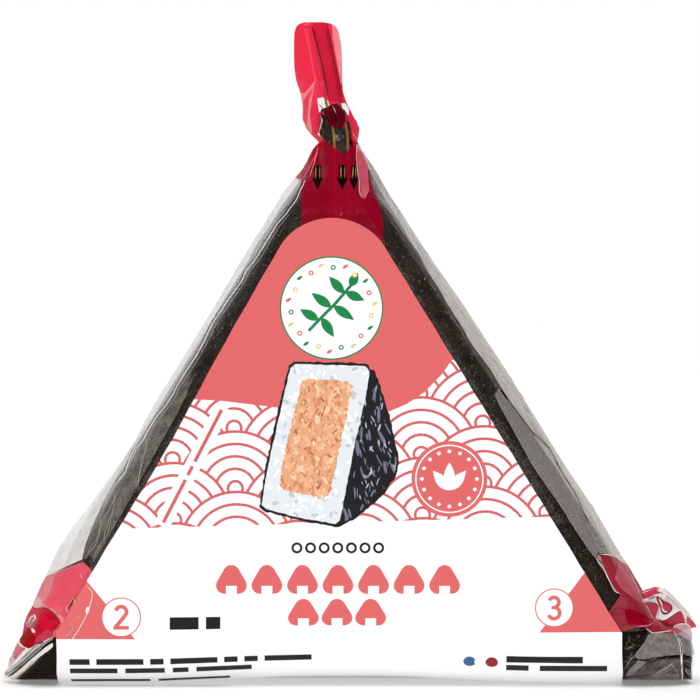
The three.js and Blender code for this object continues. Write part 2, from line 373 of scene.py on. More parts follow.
def noiseAt(points, scale, seed):
    # smooth noise of about -1 to 1; the scale is in mm, one number or one for each axis
    shifted = points / np.asarray(scale, float) + np.array([7.1, -3.7, 5.3]) * (seed + 1)
    return np.array([noise.noise(Vector(p)) for p in shifted])


def pathOffsets(flat, path):
    # distance of each flat point from a path
    best = np.full(len(flat), 1e9)
    path = np.array(path, float)
    for a, b in zip(path[:-1], path[1:]):
        along = b - a
        share = np.clip(((flat - a) @ along) / (along @ along), 0, 1)
        away = flat - a - share[:, None] * along
        best = np.minimum(best, np.hypot(away[:, 0], away[:, 1]))
    return best


def rimOffsets(flat, outline):
    return pathOffsets(flat, [*outline, outline[0]])


def standing(flat, y=0):
    # flat points across the front as points in space
    return np.c_[flat, flat[:, 0] * 0 + y]


def inside(flat, outline):
    hit = np.zeros(len(flat), bool)
    outline = np.array(outline, float)
    low, high = outline.min(0), outline.max(0)
    near = np.nonzero(((flat >= low) & (flat <= high)).all(1))[0]
    x, y = flat[near, 0], flat[near, 1]
    odd = np.zeros(len(near), bool)
    for (ax, ay), (bx, by) in zip(outline, np.roll(outline, -1, 0)):
        if ay != by:
            odd ^= ((ay > y) != (by > y)) & (x < (bx - ax) * (y - ay) / (by - ay) + ax)
    hit[near] = odd
    return hit


def filmMaterial(name, look):
    # thin film: both of its faces mirror together, what isn't mirrored goes straight through,
    # and the ink or haze in it scatters a share of the light
    material, tree = newMaterial(name)
    where = addNode(tree, "ShaderNodeTexCoord").outputs["Object"]
    crinkleSize, crinkleHeight = look["crinkle"]
    crinkles = addNode(tree, "ShaderNodeTexNoise", {
        "Vector": where, "Scale": 1 / (crinkleSize * mm), "Detail": 4, "Roughness": 0.55, "Distortion": 0.6})
    bump = addNode(tree, "ShaderNodeBump", {
        "Height": crinkles, "Strength": 1, "Distance": crinkleHeight * mm})
    facing = addNode(tree, "ShaderNodeLayerWeight", {"Blend": 0.5, "Normal": bump})
    fifth = addNode(tree, "ShaderNodeMath", {0: facing.outputs["Facing"], 1: 5}, operation="POWER")
    # Schlick's curve for plastic film of IOR 1.5
    single = addNode(tree, "ShaderNodeMath", {0: fifth, 1: 0.96, 2: 0.04}, operation="MULTIPLY_ADD")
    twice = addNode(tree, "ShaderNodeMath", {0: single, 1: look["mirror"]}, operation="MULTIPLY")
    plus = addNode(tree, "ShaderNodeMath", {0: single, 1: 1}, operation="ADD")
    mirrored = addNode(tree, "ShaderNodeMath", {0: twice, 1: plus}, operation="DIVIDE", use_clamp=True)
    through = addNode(tree, "ShaderNodeBsdfTransparent", {"Color": linear(look["tint"])})
    front = addNode(tree, "ShaderNodeBsdfDiffuse", {"Color": linear(look["ink"])})
    behind = addNode(tree, "ShaderNodeBsdfTranslucent", {"Color": linear(look["ink"])})
    scattered = addNode(tree, "ShaderNodeMixShader", {0: look["glow"], 1: front, 2: behind})
    low, high = look["cover"]
    cloud = addNode(tree, "ShaderNodeTexNoise", {
        "Vector": where, "Scale": 1 / (look["grain"] * mm), "Detail": 3})
    cover = addNode(tree, "ShaderNodeMapRange", {
        "Value": cloud, "From Min": 0.35, "From Max": 0.65, "To Min": low, "To Max": high})
    body = addNode(tree, "ShaderNodeMixShader", {0: cover, 1: through, 2: scattered})
    gloss = addNode(tree, "ShaderNodeBsdfPrincipled", {
        "Base Color": [look["sheen"]] * 3, "Metallic": 1, "Roughness": look["roughness"],
        "Normal": bump})
    surface = addNode(tree, "ShaderNodeMixShader", {0: mirrored, 1: body, 2: gloss})
    finishMaterial(tree, surface)
    return material


filmKinds = {
    # what films of one kind share. Crinkles have a size and a height in mm, a little coarser than real
    # ones, which would be lost at this distance. Grain is the size of the haze's clouds in mm.
    "film": dict(glow=0.3, grain=2, roughness=0.2, mirror=0.5, sheen=0.85, crinkle=(2.4, 0.08)),
    "seaweedFilm": dict(glow=0.3, grain=1.5, roughness=0.14, mirror=0.14, sheen=0.82, crinkle=(1.6, 0.16)),
    "print": dict(glow=0.4, grain=2, roughness=0.32, mirror=0.8, sheen=0.85, crinkle=(2.4, 0.1)),
    "tabPrint": dict(glow=0.45, grain=2, roughness=0.22, mirror=0.8, sheen=0.9, crinkle=(2.2, 0.08)),
    "haze": dict(glow=0.3, grain=1.2, roughness=0.22, mirror=1, sheen=0.82, crinkle=(2.4, 0.08)),
    "crease": dict(glow=0.3, grain=0.6, roughness=0.2, mirror=0.3, sheen=1, crinkle=(1, 0.02)),
}


def filmLook(kind, tint, ink, least, most, **others):
    # what passes through takes the tint; the ink covers between the least and most of it
    return {**filmKinds[kind], "tint": tint, "ink": ink, "cover": (least, most), **others}


filmLooks = {
    # blown polypropylene: nearly invisible face on, bright where it slants away
    "clearFilm": filmLook("seaweedFilm", "#FBFBFA", "#D8D2C8", 0, 0.025, grain=2.5, roughness=0.12,
        mirror=1.25),
    # the same film where it clings to the seaweed and its back no longer mirrors
    "clingingFilm": filmLook("seaweedFilm", "#F4F2EE", "#D8D2C8", 0, 0.008),
    # lying flat on the paper, where only its edge shows
    "flatFilm": filmLook("film", "#FFFFFF", "#FFE4E0", 0, 0.03, roughness=0.14, mirror=0.05),
    # painted shade: film tinted darker over the seaweed at the two lower corners
    "paintedShadeFilm": filmLook("seaweedFilm", "#C4B8A8", "#3A322A", 0, 0.02),
    # gravure red printed on the inside of the film: glows with light behind it, dark over seaweed
    "redPrintedFilm": filmLook("film", "#F32C5C", "#D00A36", 0.5, 0.58, glow=0.4, grain=3, mirror=0.4,
        sheen=0.9, crinkle=(2.2, 0.1)),
    "redDeepFilm": filmLook("film", "#F01448", "#E21236", 0.8, 0.92, glow=0.2, mirror=0.2, sheen=0.9,
        crinkle=(2.2, 0.1)),
    # the same print on the pull tab, two layers thick with light behind
    "redTabFilm": filmLook("tabPrint", "#FF6288", "#F84468", 0.5, 0.6),
    "redTabFold": filmLook("tabPrint", "#F44C74", "#E43056", 0.5, 0.6, mirror=0.6),
    # painted highlights: pale facets of the print on the pull tab
    "redPaintedHighlightFilm": filmLook("print", "#FF7A90", "#FF5C76", 0.66, 0.8, glow=0.45),
    # a lighter copy of the red print for the left ear's panel: painted light
    "redFrontFilm": filmLook("print", "#FF7A90", "#F65A6C", 0.84, 0.94, glow=0.15, mirror=0.6),
    # the print stretched over the corners, duller and pinker
    "redPanelFilm": filmLook("print", "#F8506E", "#DE3C54", 0.52, 0.62),
    # the red made paler and hazier: the film's haze, with painted sheen on the right ear's panel and painted
    # reflection on the flap beside the apex
    "redHazyFilm": filmLook("print", "#FF7088", "#EC6A80", 0.64, 0.78, glow=0.3, grain=1.5, roughness=0.35,
        mirror=0.6),
    # pale pink red: painted highlights along the left ear's rolled fold, down the apex and on the panel's
    # lower edge, and the paler right part of the tab
    "redBandFilm": filmLook("film", "#FFA0AA", "#FC909C", 0.8, 0.9, glow=0.2, roughness=0.3, mirror=1),
    # the palest red, on the tab's outer right
    "redPaleFilm": filmLook("haze", "#FFC8CC", "#FFBCC4", 0.5, 0.7, glow=0.4, grain=2, roughness=0.3,
        sheen=0.9),
    # painted light: an orange-red glow below the right panel's dark fold
    "redGlowFilm": filmLook("film", "#FF6A50", "#E2452F", 0.6, 0.7, glow=0.4, mirror=0.8),
    # a darker red, for the lower corner of the left ear's bulge
    "redDarkFilm": filmLook("film", "#A0000C", "#AE0008", 0.84, 0.94, glow=0.2, mirror=0.1),
    # painted shade: a dark maroon red on the shield above the big arrow and along the tab's fold lines
    "redShadowFilm": filmLook("film", "#8A1030", "#74081E", 0.6, 0.7),
    # print crumpled into several layers
    "redFinFilm": filmLook("film", "#D03858", "#D0405A", 0.8, 0.9, glow=0.2, grain=1, roughness=0.25,
        crinkle=(1.6, 0.12)),
    # two layers sealed together, slightly milky
    "hazyFilm": filmLook("haze", "#F2F1EF", "#CFC8C4", 0.33, 0.42, grain=0.35),
    # the same where air between the layers leaves it speckled
    "speckledFilm": filmLook("haze", "#F2F1EF", "#DDD8D2", 0.15, 0.55, grain=0.28, crinkle=(1.2, 0.12)),
    "mistFilm": filmLook("haze", "#F2F1EF", "#CFC6BE", 0.08, 0.2, grain=1.6, mirror=0.5),
    "dustyFilm": filmLook("haze", "#E9E6E1", "#ABA398", 0.1, 0.26, roughness=0.16, mirror=1.1, sheen=0.8,
        crinkle=(1.6, 0.14)),
    "rimFilm": filmLook("film", "#E9E6E1", "#ABA398", 0.04, 0.14, grain=1.2, roughness=0.16, sheen=0.8,
        crinkle=(1.6, 0.14)),
    "smokyFilm": filmLook("film", "#E2E0DC", "#BDB6B0", 0.34, 0.6, grain=0.8, roughness=0.3, sheen=0.82,
        crinkle=(1.6, 0.12)),
    # many layers pleated together, silvery
    "silverFold": filmLook("haze", "#9A9492", "#C2BDB8", 0.45, 0.8, grain=0.5, mirror=0.8, sheen=0.85,
        crinkle=(1.2, 0.12)),
    # thin printed film stretched pale along its folds
    "paleFilm": filmLook("haze", "#FAE6E8", "#F4D2DA", 0.7, 0.88, glow=0.4, roughness=0.15, mirror=0.6,
        sheen=0.9, crinkle=(1.6, 0.12)),
    # white folds of the crumpled fin: pale stretched film with a painted highlight on it
    "whiteFold": filmLook("film", "#FFFFFF", "#FFFAF8", 0.9, 1, grain=0.8, sheen=1, crinkle=(1.2, 0.08)),
    # cut and hot-sealed film edges, which go white, and painted white glints on folds, curls and flaps
    "filmEdge": filmLook("crease", "#FFFFFF", "#FFFFFF", 0.9, 1, glow=0.25),
    # light caught along fine creases
    "creaseLight": filmLook("crease", "#F4F0EC", "#E2DCD4", 0.55, 0.85),
    # painted shade in deep folds and creases and along edges; the same dark film also makes dark specks and
    # darkens the arrow windows
    "foldShadow": filmLook("crease", "#3A1820", "#140709", 0.5, 0.7, glow=0.1, roughness=0.4, mirror=0.2,
        sheen=0.5),
    # seaweed that shows lighter where the film touches it
    "oliveFleck": filmLook("film", "#8A7C66", "#5A5040", 0.2, 0.7, grain=0.6, roughness=0.3, mirror=0.3),
    "goldLine": filmLook("crease", "#B98A44", "#C08F48", 0.8, 0.95, glow=0.2, roughness=0.3, mirror=0.4,
        sheen=0.8),
}
film = {name: filmMaterial(name, look) for name, look in filmLooks.items()}


def seaweedMaterial():
    # roasted pressed seaweed: almost black, brown-green where it is thin, paper-like and dull
    material, tree = newMaterial("roastedSeaweedSheet")
    where = addNode(tree, "ShaderNodeTexCoord").outputs["Object"]
    patches = addNode(tree, "ShaderNodeTexNoise", {"Vector": where, "Scale": 1 / (4 * mm), "Detail": 5})
    fibres = addNode(tree, "ShaderNodeTexNoise", {
        "Vector": where, "Scale": 1 / (0.6 * mm), "Detail": 6, "Roughness": 0.7})
    both = addNode(tree, "ShaderNodeMath", {0: patches, 1: 0.45, 2: fibres}, operation="MULTIPLY_ADD")
    tone = addNode(tree, "ShaderNodeMapRange", {
        "Value": both, "From Min": 0.55, "From Max": 0.95, "To Min": 0, "To Max": 1})
    colour = addNode(tree, "ShaderNodeMix", {
        0: tone, 6: linear("#080503"), 7: linear("#32281C")}, data_type="RGBA")
    specks = addNode(tree, "ShaderNodeTexVoronoi", {"Vector": where, "Scale": 1 / (0.9 * mm)})
    speck = addNode(tree, "ShaderNodeMapRange", {
        "Value": specks.outputs["Distance"], "From Min": 0.1, "From Max": 0.2, "To Min": 0.5, "To Max": 0})
    chosen = addNode(tree, "ShaderNodeMath", {0: specks.outputs["Color"], 1: 0.62}, operation="GREATER_THAN")
    shown = addNode(tree, "ShaderNodeMath", {0: speck, 1: chosen}, operation="MULTIPLY")
    speckled = addNode(tree, "ShaderNodeMix", {
        0: shown, 6: colour.outputs[2], 7: linear("#A0936F")}, data_type="RGBA")
    bump = addNode(tree, "ShaderNodeBump", {"Height": both, "Strength": 0.6, "Distance": 0.25 * mm})
    sheet = addNode(tree, "ShaderNodeBsdfPrincipled", {
        "Base Color": speckled.outputs[2], "Roughness": 0.55, "IOR": 1.35, "Normal": bump})
    finishMaterial(tree, sheet)
    return material


seaweed = seaweedMaterial()


# label outline, which the film below it also follows
labelForm = {
    "peak": 83.65,
    "halfAngle": math.radians(30.8),
    "capRadius": 9.8,
    "shoulder": 8.75,
    "shiftX": -0.6,
    "flare": 0.45,
    "underReach": 8,
    "pinch": (0.62, 37, 13),        # how far the left edge is drawn in, about which height and how widely
    "waver": (0.05, 0.9),       # how far its worn edges waver, and how quickly
    "steps": (2.5, 0.7),        # mm between points up the front, and round the base
    "grid": 4,      # mm between the loose points over the front, and where they lie
    "gridAcross": (-44, 42),
    "gridUp": (9, 76),
    "bendColumns": 24,
    "outside": 0.5,     # how far the printed face stands off the rice ball's film
    "inside": 0.25,
}


def labelHalfWidth(z):
    peak, angle, radius = labelForm["peak"], labelForm["halfAngle"], labelForm["capRadius"]
    capZ = peak - radius / math.sin(angle)
    cap = np.sqrt(np.maximum(radius**2 - (z - capZ)**2, 0))
    slope = (peak - np.maximum(z, labelForm["shoulder"])) * math.tan(angle)
    return np.where(z > capZ + radius * math.sin(angle), cap, slope)


# the film skin
skinSettings = {
    # height and size in mm of the slack, the ripples and the ears' crumples
    "slack": (0.16, 9),
    "ripple": (0.05, 3),
    "ear": (0.16, 3.2),
    "crease": (0.13, (3.2, 5, 7), 0.07),        # height, size by axis and sharpness of the fine creases
    "creased": (6, -0.1, 0.3),      # size of the fields that have them, and their border in the noise
    "earFrom": (41, 46),        # distances from the middle over which the ears' crumples begin
    "earTop": (14, 20),
    "neck": ((77, 83), (89, 94)),
    "pleats": (0.06, 7),        # height and number of the neck's pleats
    "tab": (92, 96, 0.75),      # where the drawn-out tab begins, and how much flatter it is
    "underLabel": (1.4, 0.3),       # how far inside the label's edge the film lies flat
    "foot": (2.5, 0.4),     # below this height only a share is left
    "limits": (-0.45, 0.65),
    # folds as a path across the front, height and width
    "folds": [
        ([(-6.2, 105.4), (-4.5, 95.7), (-3.6, 92.9)], -0.16, 0.3),
        ([(-3.5, 105.2), (-3.1, 102.6), (-1.1, 93.2)], -0.16, 0.3),
        ([(-5.2, 96.6), (-6.3, 94.4), (-7.2, 90.6)], 0.3, 0.5),
        ([(-4.6, 96), (-5.2, 92.5), (-5.7, 88.8)], -0.22, 0.4),
        ([(-5.4, 86.2), (-6.6, 82.2), (-7.4, 78.8)], 0.35, 0.55),
        ([(1, 86.6), (1.7, 83), (1.6, 79.5), (2.4, 76.5)], 0.3, 0.3),
        ([(3.4, 79.8), (2.9, 83), (2, 85)], 0.25, 0.25),
        # left ear: a rolled fold above the tail and a soft dent under it
        ([(-48.7, 13), (-47.2, 12.4), (-46, 11.5), (-45.3, 10.5), (-45.1, 9.6)], 0.5, 0.5),
        ([(-49, 11.9), (-47.6, 11.4), (-46.7, 10.6), (-46.3, 9.6)], -0.4, 0.5),
        ([(-46.5, 18), (-46.9, 15.5), (-47.4, 13.6)], 0.3, 0.7),
        # right ear: facets of the red panel
        ([(41, 20.8), (42.2, 16.8), (43.8, 13.6), (47.3, 10.7)], 0.35, 0.5),
        ([(41.5, 12.3), (42.8, 12.9), (44.1, 13.1), (45.7, 11.8), (48.1, 10.3)], -0.45, 0.5),
        ([(43.2, 9.4), (44.5, 10.3), (46.6, 10.2)], 0.3, 0.45),
        ([(46.4, 4.5), (49, 4.9), (52.2, 4.9), (54.9, 4.2)], -0.35, 0.4),
        ([(51.5, 8.6), (52.2, 7.2), (52.8, 3), (53, 0.6)], 0.3, 0.28),
        ([(46.2, 2.2), (48.6, 3.2), (51.6, 3.9)], 0.35, 0.45),
        ([(47.5, 0.9), (49.8, 1.9), (52.2, 2)], 0.3, 0.4),
        # lap of the film along the left side
        ([(-7, 80.4), (-13.3, 70), (-18.6, 61.9), (-27.7, 46.4), (-31.8, 40.5), (-36.8, 32.1), (-40.1, 25.1),
            (-41.8, 20.6)], 0.16, 0.3),
        ([(22.9, 46.3), (27.1, 38.6), (41.8, 15.4)], 0.18, 0.3),
        ([(5.5, 75), (11.6, 67), (18.4, 54.9), (23.5, 47.1), (32, 37.5), (36, 30.1), (39.4, 22.1)], -0.25,
            0.5),
    ],
}


def between(value, rise, fall):
    # 1 between two soft borders
    return smoothStep(value, *rise) * (1 - smoothStep(value, *fall))


def skinHeights(points):
    # how far each point of the skin stands out, in mm
    x, y, z = points.T
    front = y < wrapForm["midY"]
    middle = wrapForm["axisX"] - wrapForm["lean"] * z
    slackHeight, slackSize = skinSettings["slack"]
    rippleHeight, rippleSize = skinSettings["ripple"]
    earHeight, earSize = skinSettings["ear"]
    slack = noiseAt(points, slackSize, 1)
    ripple = noiseAt(points, rippleSize, 2)
    creaseHeight, creaseSize, sharpness = skinSettings["crease"]
    fieldSize, *border = skinSettings["creased"]
    creased = np.exp(-(noiseAt(points, creaseSize, 3) / sharpness)**2)
    creased = creased * smoothStep(noiseAt(points, fieldSize, 4), *border)
    heights = slackHeight * slack + rippleHeight * ripple + creaseHeight * creased
    corner = smoothStep(np.abs(x - middle), *skinSettings["earFrom"])
    corner = corner * (1 - smoothStep(z, *skinSettings["earTop"]))
    crumple = noiseAt(points, earSize, 5) + 0.6 * np.abs(noiseAt(points, earSize * 0.5, 6))
    heights += corner * earHeight * crumple
    neck = between(z, *skinSettings["neck"])
    pleatHeight, pleats = skinSettings["pleats"]
    turn = np.arctan2(x - middle, wrapForm["midY"] - y)
    heights += neck * pleatHeight * np.sin(turn * pleats + 0.8 * slack + z * 0.12)
    low, high, flatter = skinSettings["tab"]
    heights *= 1 - flatter * smoothStep(z, low, high)
    for path, height, width in skinSettings["folds"]:
        distance = pathOffsets(points[:, [0, 2]], path)
        heights += front * height * np.exp(-(distance / width)**2)
    # flat below the label, never past the pack's own box at the back
    offset, half = np.abs(x - middle - labelForm["shiftX"]), labelHalfWidth(z)
    inner, outer = skinSettings["underLabel"]
    under = 1 - smoothStep(offset, half - inner, half - outer)
    under = under * (y < 9) * (front | (z < 3))
    heights = heights * (1 - under) + under * np.minimum(0.2 * heights, 0.05)
    heights = np.where(y > 12, np.minimum(heights - 0.2, 0), heights)
    foot, left = skinSettings["foot"]
    return np.clip(np.where(z < foot, heights * left, heights), *skinSettings["limits"])


def raisedForm(form, heightsOf):
    rings = wrapRings(form)
    points = rings.reshape(-1, 3)
    points = points + ringNormals(rings).reshape(-1, 3) * heightsOf(points)[:, None]
    return points, ringFaces(len(rings), rings.shape[1])


def inBox(points, gap):
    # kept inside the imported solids' own box
    low, high = (np.array(c) / mm for c in cadBounds)
    return np.clip(points, low + gap, high - gap)


skinPoints, skinFaces = raisedForm(wrapForm, skinHeights)
skinPoints = inBox(skinPoints, 0.01)
skinTree = BVHTree.FromPolygons([tuple(p) for p in skinPoints], skinFaces)
print("stage: film skin,", len(skinFaces), "faces")


# red print on the skin
printZones = [
    # corners across the front in mm; the back is printed alike
    [(-7.5, 66), (-7.7, 80.7), (-9, 81.4), (-14, 83), (-14, 110), (8, 110), (8, 87.4), (1, 86.6),
        (2.9, 82.8), (3.4, 80), (5.2, 75), (5.5, 66)],
    [(-60, 12.1), (-42.1, 19.9), (-41, 18.9), (-38, 14), (-38, 6.5), (-45, 8.2), (-46.4, 8.2), (-51, 6),
        (-52, 6.3), (-52.8, 6.8), (-60, 8.6)],
    [(39.2, 21), (41.1, 20.9), (42.7, 20.2), (44.1, 19.1), (52, 16), (60, 11), (60, 8.3), (48.3, 8.3),
        (46.6, 9.9), (43, 9), (38, 8.8), (38, 11), (41.2, 12.3), (42.8, 14.7), (41.4, 16.3), (40.5, 18.5)],
]
clearWindows = [
    # bare film inside the red: a big arrow down the tear tape and two gaps above it
    [(-4.5, 91.3), (-3.6, 91.4), (-3.7, 90.3), (-3.2, 89.6), (-1.7, 89.1), (-0.77, 89.3), (-0.5, 90.5),
        (-0.14, 90.3), (0.23, 89.6), (0.23, 87.8), (0.6, 86.6), (-0.77, 84.9), (-2.3, 85.8), (-5.2, 88.3),
        (-4.5, 89.5)],
    [(-5.2, 94.1), (-4.4, 94.3), (-3.5, 93.8), (-3.2, 92.9), (-4, 92.1), (-4.9, 91.7), (-5.1, 93.1)],
    [(-1.9, 93.2), (-0.7, 93.3), (-0.1, 92.4), (-0.1, 91.3), (-0.82, 91.6), (-1.4, 92.5)],
]
# three arrows of one shape below it, each with its left end and width
arrowShape = [(0.2, 1), (0.8, 1), (0.8, 0.48), (1, 0.48), (0.5, 0), (0, 0.48), (0.2, 0.48)]
arrowFoot, arrowHeight = 78.9, 4.1
pullArrows = [[(left + width * x, arrowFoot + arrowHeight * z) for x, z in arrowShape]
    for left, width in ((-6, 1.8), (-2, 1.7), (-0.05, 1.5))]
printFacets = [
    # fields of the red where the film lies in other ways, and fields of painted highlight, sheen, light and
    # shade, painted one over another
    ("redTabFilm", [(-14, 86.6), (-5.4, 86.6), (-2.2, 88.4), (1, 87), (8, 86.6), (8, 110), (-14, 110)]),
    ("redTabFold", [(-6.1, 107), (-5.6, 104.2), (-4.3, 99.1), (-3.3, 93.5), (-1, 93.4), (-3.2, 103.9),
        (-3.6, 107)]),
    ("redBandFilm", [(-2.9, 107), (-2.7, 103.7), (-1.4, 96.5), (2, 95), (2, 107)]),
    ("redPaleFilm", [(-2.1, 106), (-1.6, 98.4), (2, 97), (2, 106)]),
    # painted highlight: a pale streak down the tab's left side
    ("redPaintedHighlightFilm", [(-7.3, 105.2), (-5.7, 97), (-5.4, 97), (-6.8, 105.2)]),
    ("redShadowFilm", [(-4, 92.1), (-3.2, 92.9), (-1.9, 93.2), (-0.75, 91.6), (-0.6, 90.4), (-1.3, 89),
        (-3.1, 89), (-3.8, 91)]),
    # painted highlights: pale pink and a pale facet at the tab's lower left
    ("redBandFilm", [(-5.5, 96.9), (-7.2, 94.9), (-9, 94.7), (-9, 88), (-6, 88.4), (-6.4, 91.5),
        (-6, 94.2)]),
    ("redPaintedHighlightFilm", [(-5.8, 95.9), (-7.5, 93.6), (-7.5, 90.8), (-6.9, 89.4), (-6.5, 93.6)]),
    # painted light: the left ear's panel in the lighter copy of the print
    ("redFrontFilm", [(-60, 5), (-38, 5), (-38, 22), (-60, 22)]),
    ("redDeepFilm", [(-56, 12.2), (-49.6, 12.2), (-48.9, 12.6), (-48, 12.6), (-47.1, 12.2), (-45.8, 10.9),
        (-45.6, 10.4), (-46.9, 9), (-46.8, 8.4), (-51.3, 5.6), (-56, 5.6)]),
    # painted highlight along the left ear's rolled fold
    ("redBandFilm", [(-54, 14.2), (-49.2, 13.6), (-46.7, 12.4), (-45.1, 11.1), (-44.9, 10.7), (-45.1, 10.3),
        (-45.6, 10.4), (-45.8, 10.9), (-47.1, 12.2), (-48, 12.6), (-48.9, 12.6), (-49.6, 12.2),
        (-54, 12.2)]),
    ("redFinFilm", [(-49, 8.4), (-48, 9.2), (-46.9, 9), (-46.8, 8.4), (-48.1, 7.4), (-49.4, 7),
        (-49.7, 7.7)]),
    # painted highlight: a paler pink patch round the white curl on the bulge
    ("redPanelFilm", [(-51.9, 9.7), (-51.2, 10.8), (-50.3, 11.4), (-49.4, 10.9), (-49.2, 9.7), (-50, 9.3),
        (-50.4, 8.5), (-50.7, 9.3), (-51.5, 9.3)]),
    ("redDarkFilm", [(-54, 6.2), (-50.9, 9.4), (-50.4, 8.5), (-49.7, 7.9), (-50.3, 6.1), (-51.5, 5.4)]),
    ("redPanelFilm", [(38, 5), (60, 5), (60, 24), (38, 24)]),
    # painted sheen: a paler band across the right ear's panel
    ("redHazyFilm", [(43, 20.3), (44.3, 19.3), (47.4, 12.9), (45.3, 13.9), (43.2, 15.5), (41.9, 17.3),
        (42.6, 18.9)]),
    # painted shade: the darker fold in the right ear's panel, in the plain print
    ("redPrintedFilm", [(43.5, 12.4), (44.4, 12.5), (45.4, 12.2), (48.3, 10.5), (48.3, 10), (44.2, 9.8),
        (43.7, 10.9)]),
    # painted light: the orange-red glow under that fold
    ("redGlowFilm", [(43.1, 9.3), (43.8, 9.7), (46.7, 9.9), (46.6, 8.3), (43.1, 8.3)]),
]
hazeZones = [
    # where the bare film is duller, and whether at the back as well
    ("dustyFilm", [(4.6, 76.8), (6.3, 74), (11.5, 67), (18.4, 54.9), (23.5, 47.4), (28.8, 40.4), (32, 37.5),
        (33.6, 34), (36, 30), (40, 20.5), (60, 20.5), (60, 92), (1, 92), (1, 86.6), (3.4, 80)], True),
    ("rimFilm", [(8.5, 75), (15.5, 64), (28, 45.4), (33.3, 35.7), (39.4, 26.4), (42.3, 20.5), (60, 20.5),
        (60, 92), (2.5, 92), (2.5, 86)], True),
    # painted shade over the left ear's foot
    ("paintedShadeFilm", [(-45.5, -1), (-45.5, 8), (-46.9, 7.9), (-54, 1.8), (-54.5, -1)], False),
    ("clingingFilm", [(31, 26), (36.6, 26), (40.3, 19), (42.8, 14.7), (41, 12), (36, 8)], False),
    # painted shade over the right ear's foot
    ("paintedShadeFilm", [(42, -1), (42, 9), (47, 9), (46.2, 7), (43.6, 3.2), (43.4, -1)], False),
]


cutReach = (1.2, 1.5)       # mm about an outline's side and about a whole outline where faces may be cut


def cutAlong(mesh, near, outline):
    # splits the faces near each side of an outline, so that the print gets a crisp edge
    outline = np.array(outline, float)
    for a, b in zip(outline, np.roll(outline, -1, 0)):
        low, high = np.minimum(a, b) - cutReach[0], np.maximum(a, b) + cutReach[0]
        faces = []
        for face in mesh.faces:
            if face[near]:
                centre = face.calc_center_median()
                if low[0] < centre.x < high[0] and low[1] < centre.z < high[1]:
                    faces.append(face)
        if not faces:
            continue
        edges = {edge for face in faces for edge in face.edges}
        corners = {corner for face in faces for corner in face.verts}
        along = b - a
        bmesh.ops.bisect_plane(
            mesh, geom=[*corners, *edges, *faces], dist=1e-4,
            plane_co=(a[0], 0, a[1]), plane_no=Vector((-along[1], 0, along[0])).normalized())


def printedSkin(points, faces):
    # the skin cut along the print's edges, as one set of faces for bare film and one for red film
    mesh = bmesh.new()
    corners = [mesh.verts.new(p) for p in points]
    for face in faces:
        mesh.faces.new([corners[i] for i in face])
    near = mesh.faces.layers.int.new("near")
    mesh.faces.ensure_lookup_table()
    outlines = [*printZones, *clearWindows, *pullArrows,
        *(outline for _, outline in printFacets), *(outline for _, outline, _ in hazeZones)]
    centres = np.array([face.calc_center_median() for face in mesh.faces])[:, [0, 2]]
    close = np.zeros(len(centres), bool)
    for outline in outlines:
        close |= rimOffsets(centres, outline) < cutReach[1]
    for i in np.nonzero(close)[0]:
        mesh.faces[i][near] = 1
    for outline in outlines:
        cutAlong(mesh, near, outline)
    mesh.verts.index_update()
    points = np.array([v.co for v in mesh.verts])
    faces = [[v.index for v in face.verts] for face in mesh.faces]
    centres = np.array([face.calc_center_median() for face in mesh.faces])
    low = np.array([min(v.co.z for v in face.verts) for face in mesh.faces])
    # the film clings less and less towards the back
    cling = wrapForm["clingBelow"] * (1 - 0.8 * smoothStep(centres[:, 1], -8, 8))
    front, centres = centres[:, 1] < 0, centres[:, [0, 2]]
    mesh.free()
    # which look each face has, as a number in the list of films
    looks = list(filmLooks)
    kinds = np.where(low < cling, looks.index("clingingFilm"), looks.index("clearFilm"))
    red = np.zeros(len(centres), bool)
    for outline in printZones:
        red |= inside(centres, outline)
    for outline in [*clearWindows, *pullArrows]:
        red &= ~inside(centres, outline)
    kinds[red] = looks.index("redPrintedFilm")
    for look, outline in printFacets:
        kinds[red & inside(centres, outline)] = looks.index(look)
    for look, outline, allRound in hazeZones:
        kinds[~red & inside(centres, outline) & (front | allRound)] = looks.index(look)
    return points, faces, kinds, red


def facesOnly(points, faces):
    # the points that a set of faces uses, and the faces counted in them
    used = sorted({i for face in faces for i in face})
    place = {old: new for new, old in enumerate(used)}
    return points[used], [[place[i] for i in face] for face in faces]


def skinPiece(name, chosen):
    kinds = [looks for looks, c in zip(skinKinds, chosen) if c]
    used = sorted(set(kinds))
    piece = makePiece(name, *facesOnly(cutPoints, [f for f, c in zip(cutFaces, chosen) if c]),
        [list(film.values())[k] for k in used], [used.index(k) for k in kinds])
    placed(piece, "film_pack")


cutPoints, cutFaces, skinKinds, red = printedSkin(skinPoints, skinFaces)
skinPiece("film_wrap", ~red)
skinPiece("film_red_print", red)
print("stage: red print,", int(red.sum()), "faces")


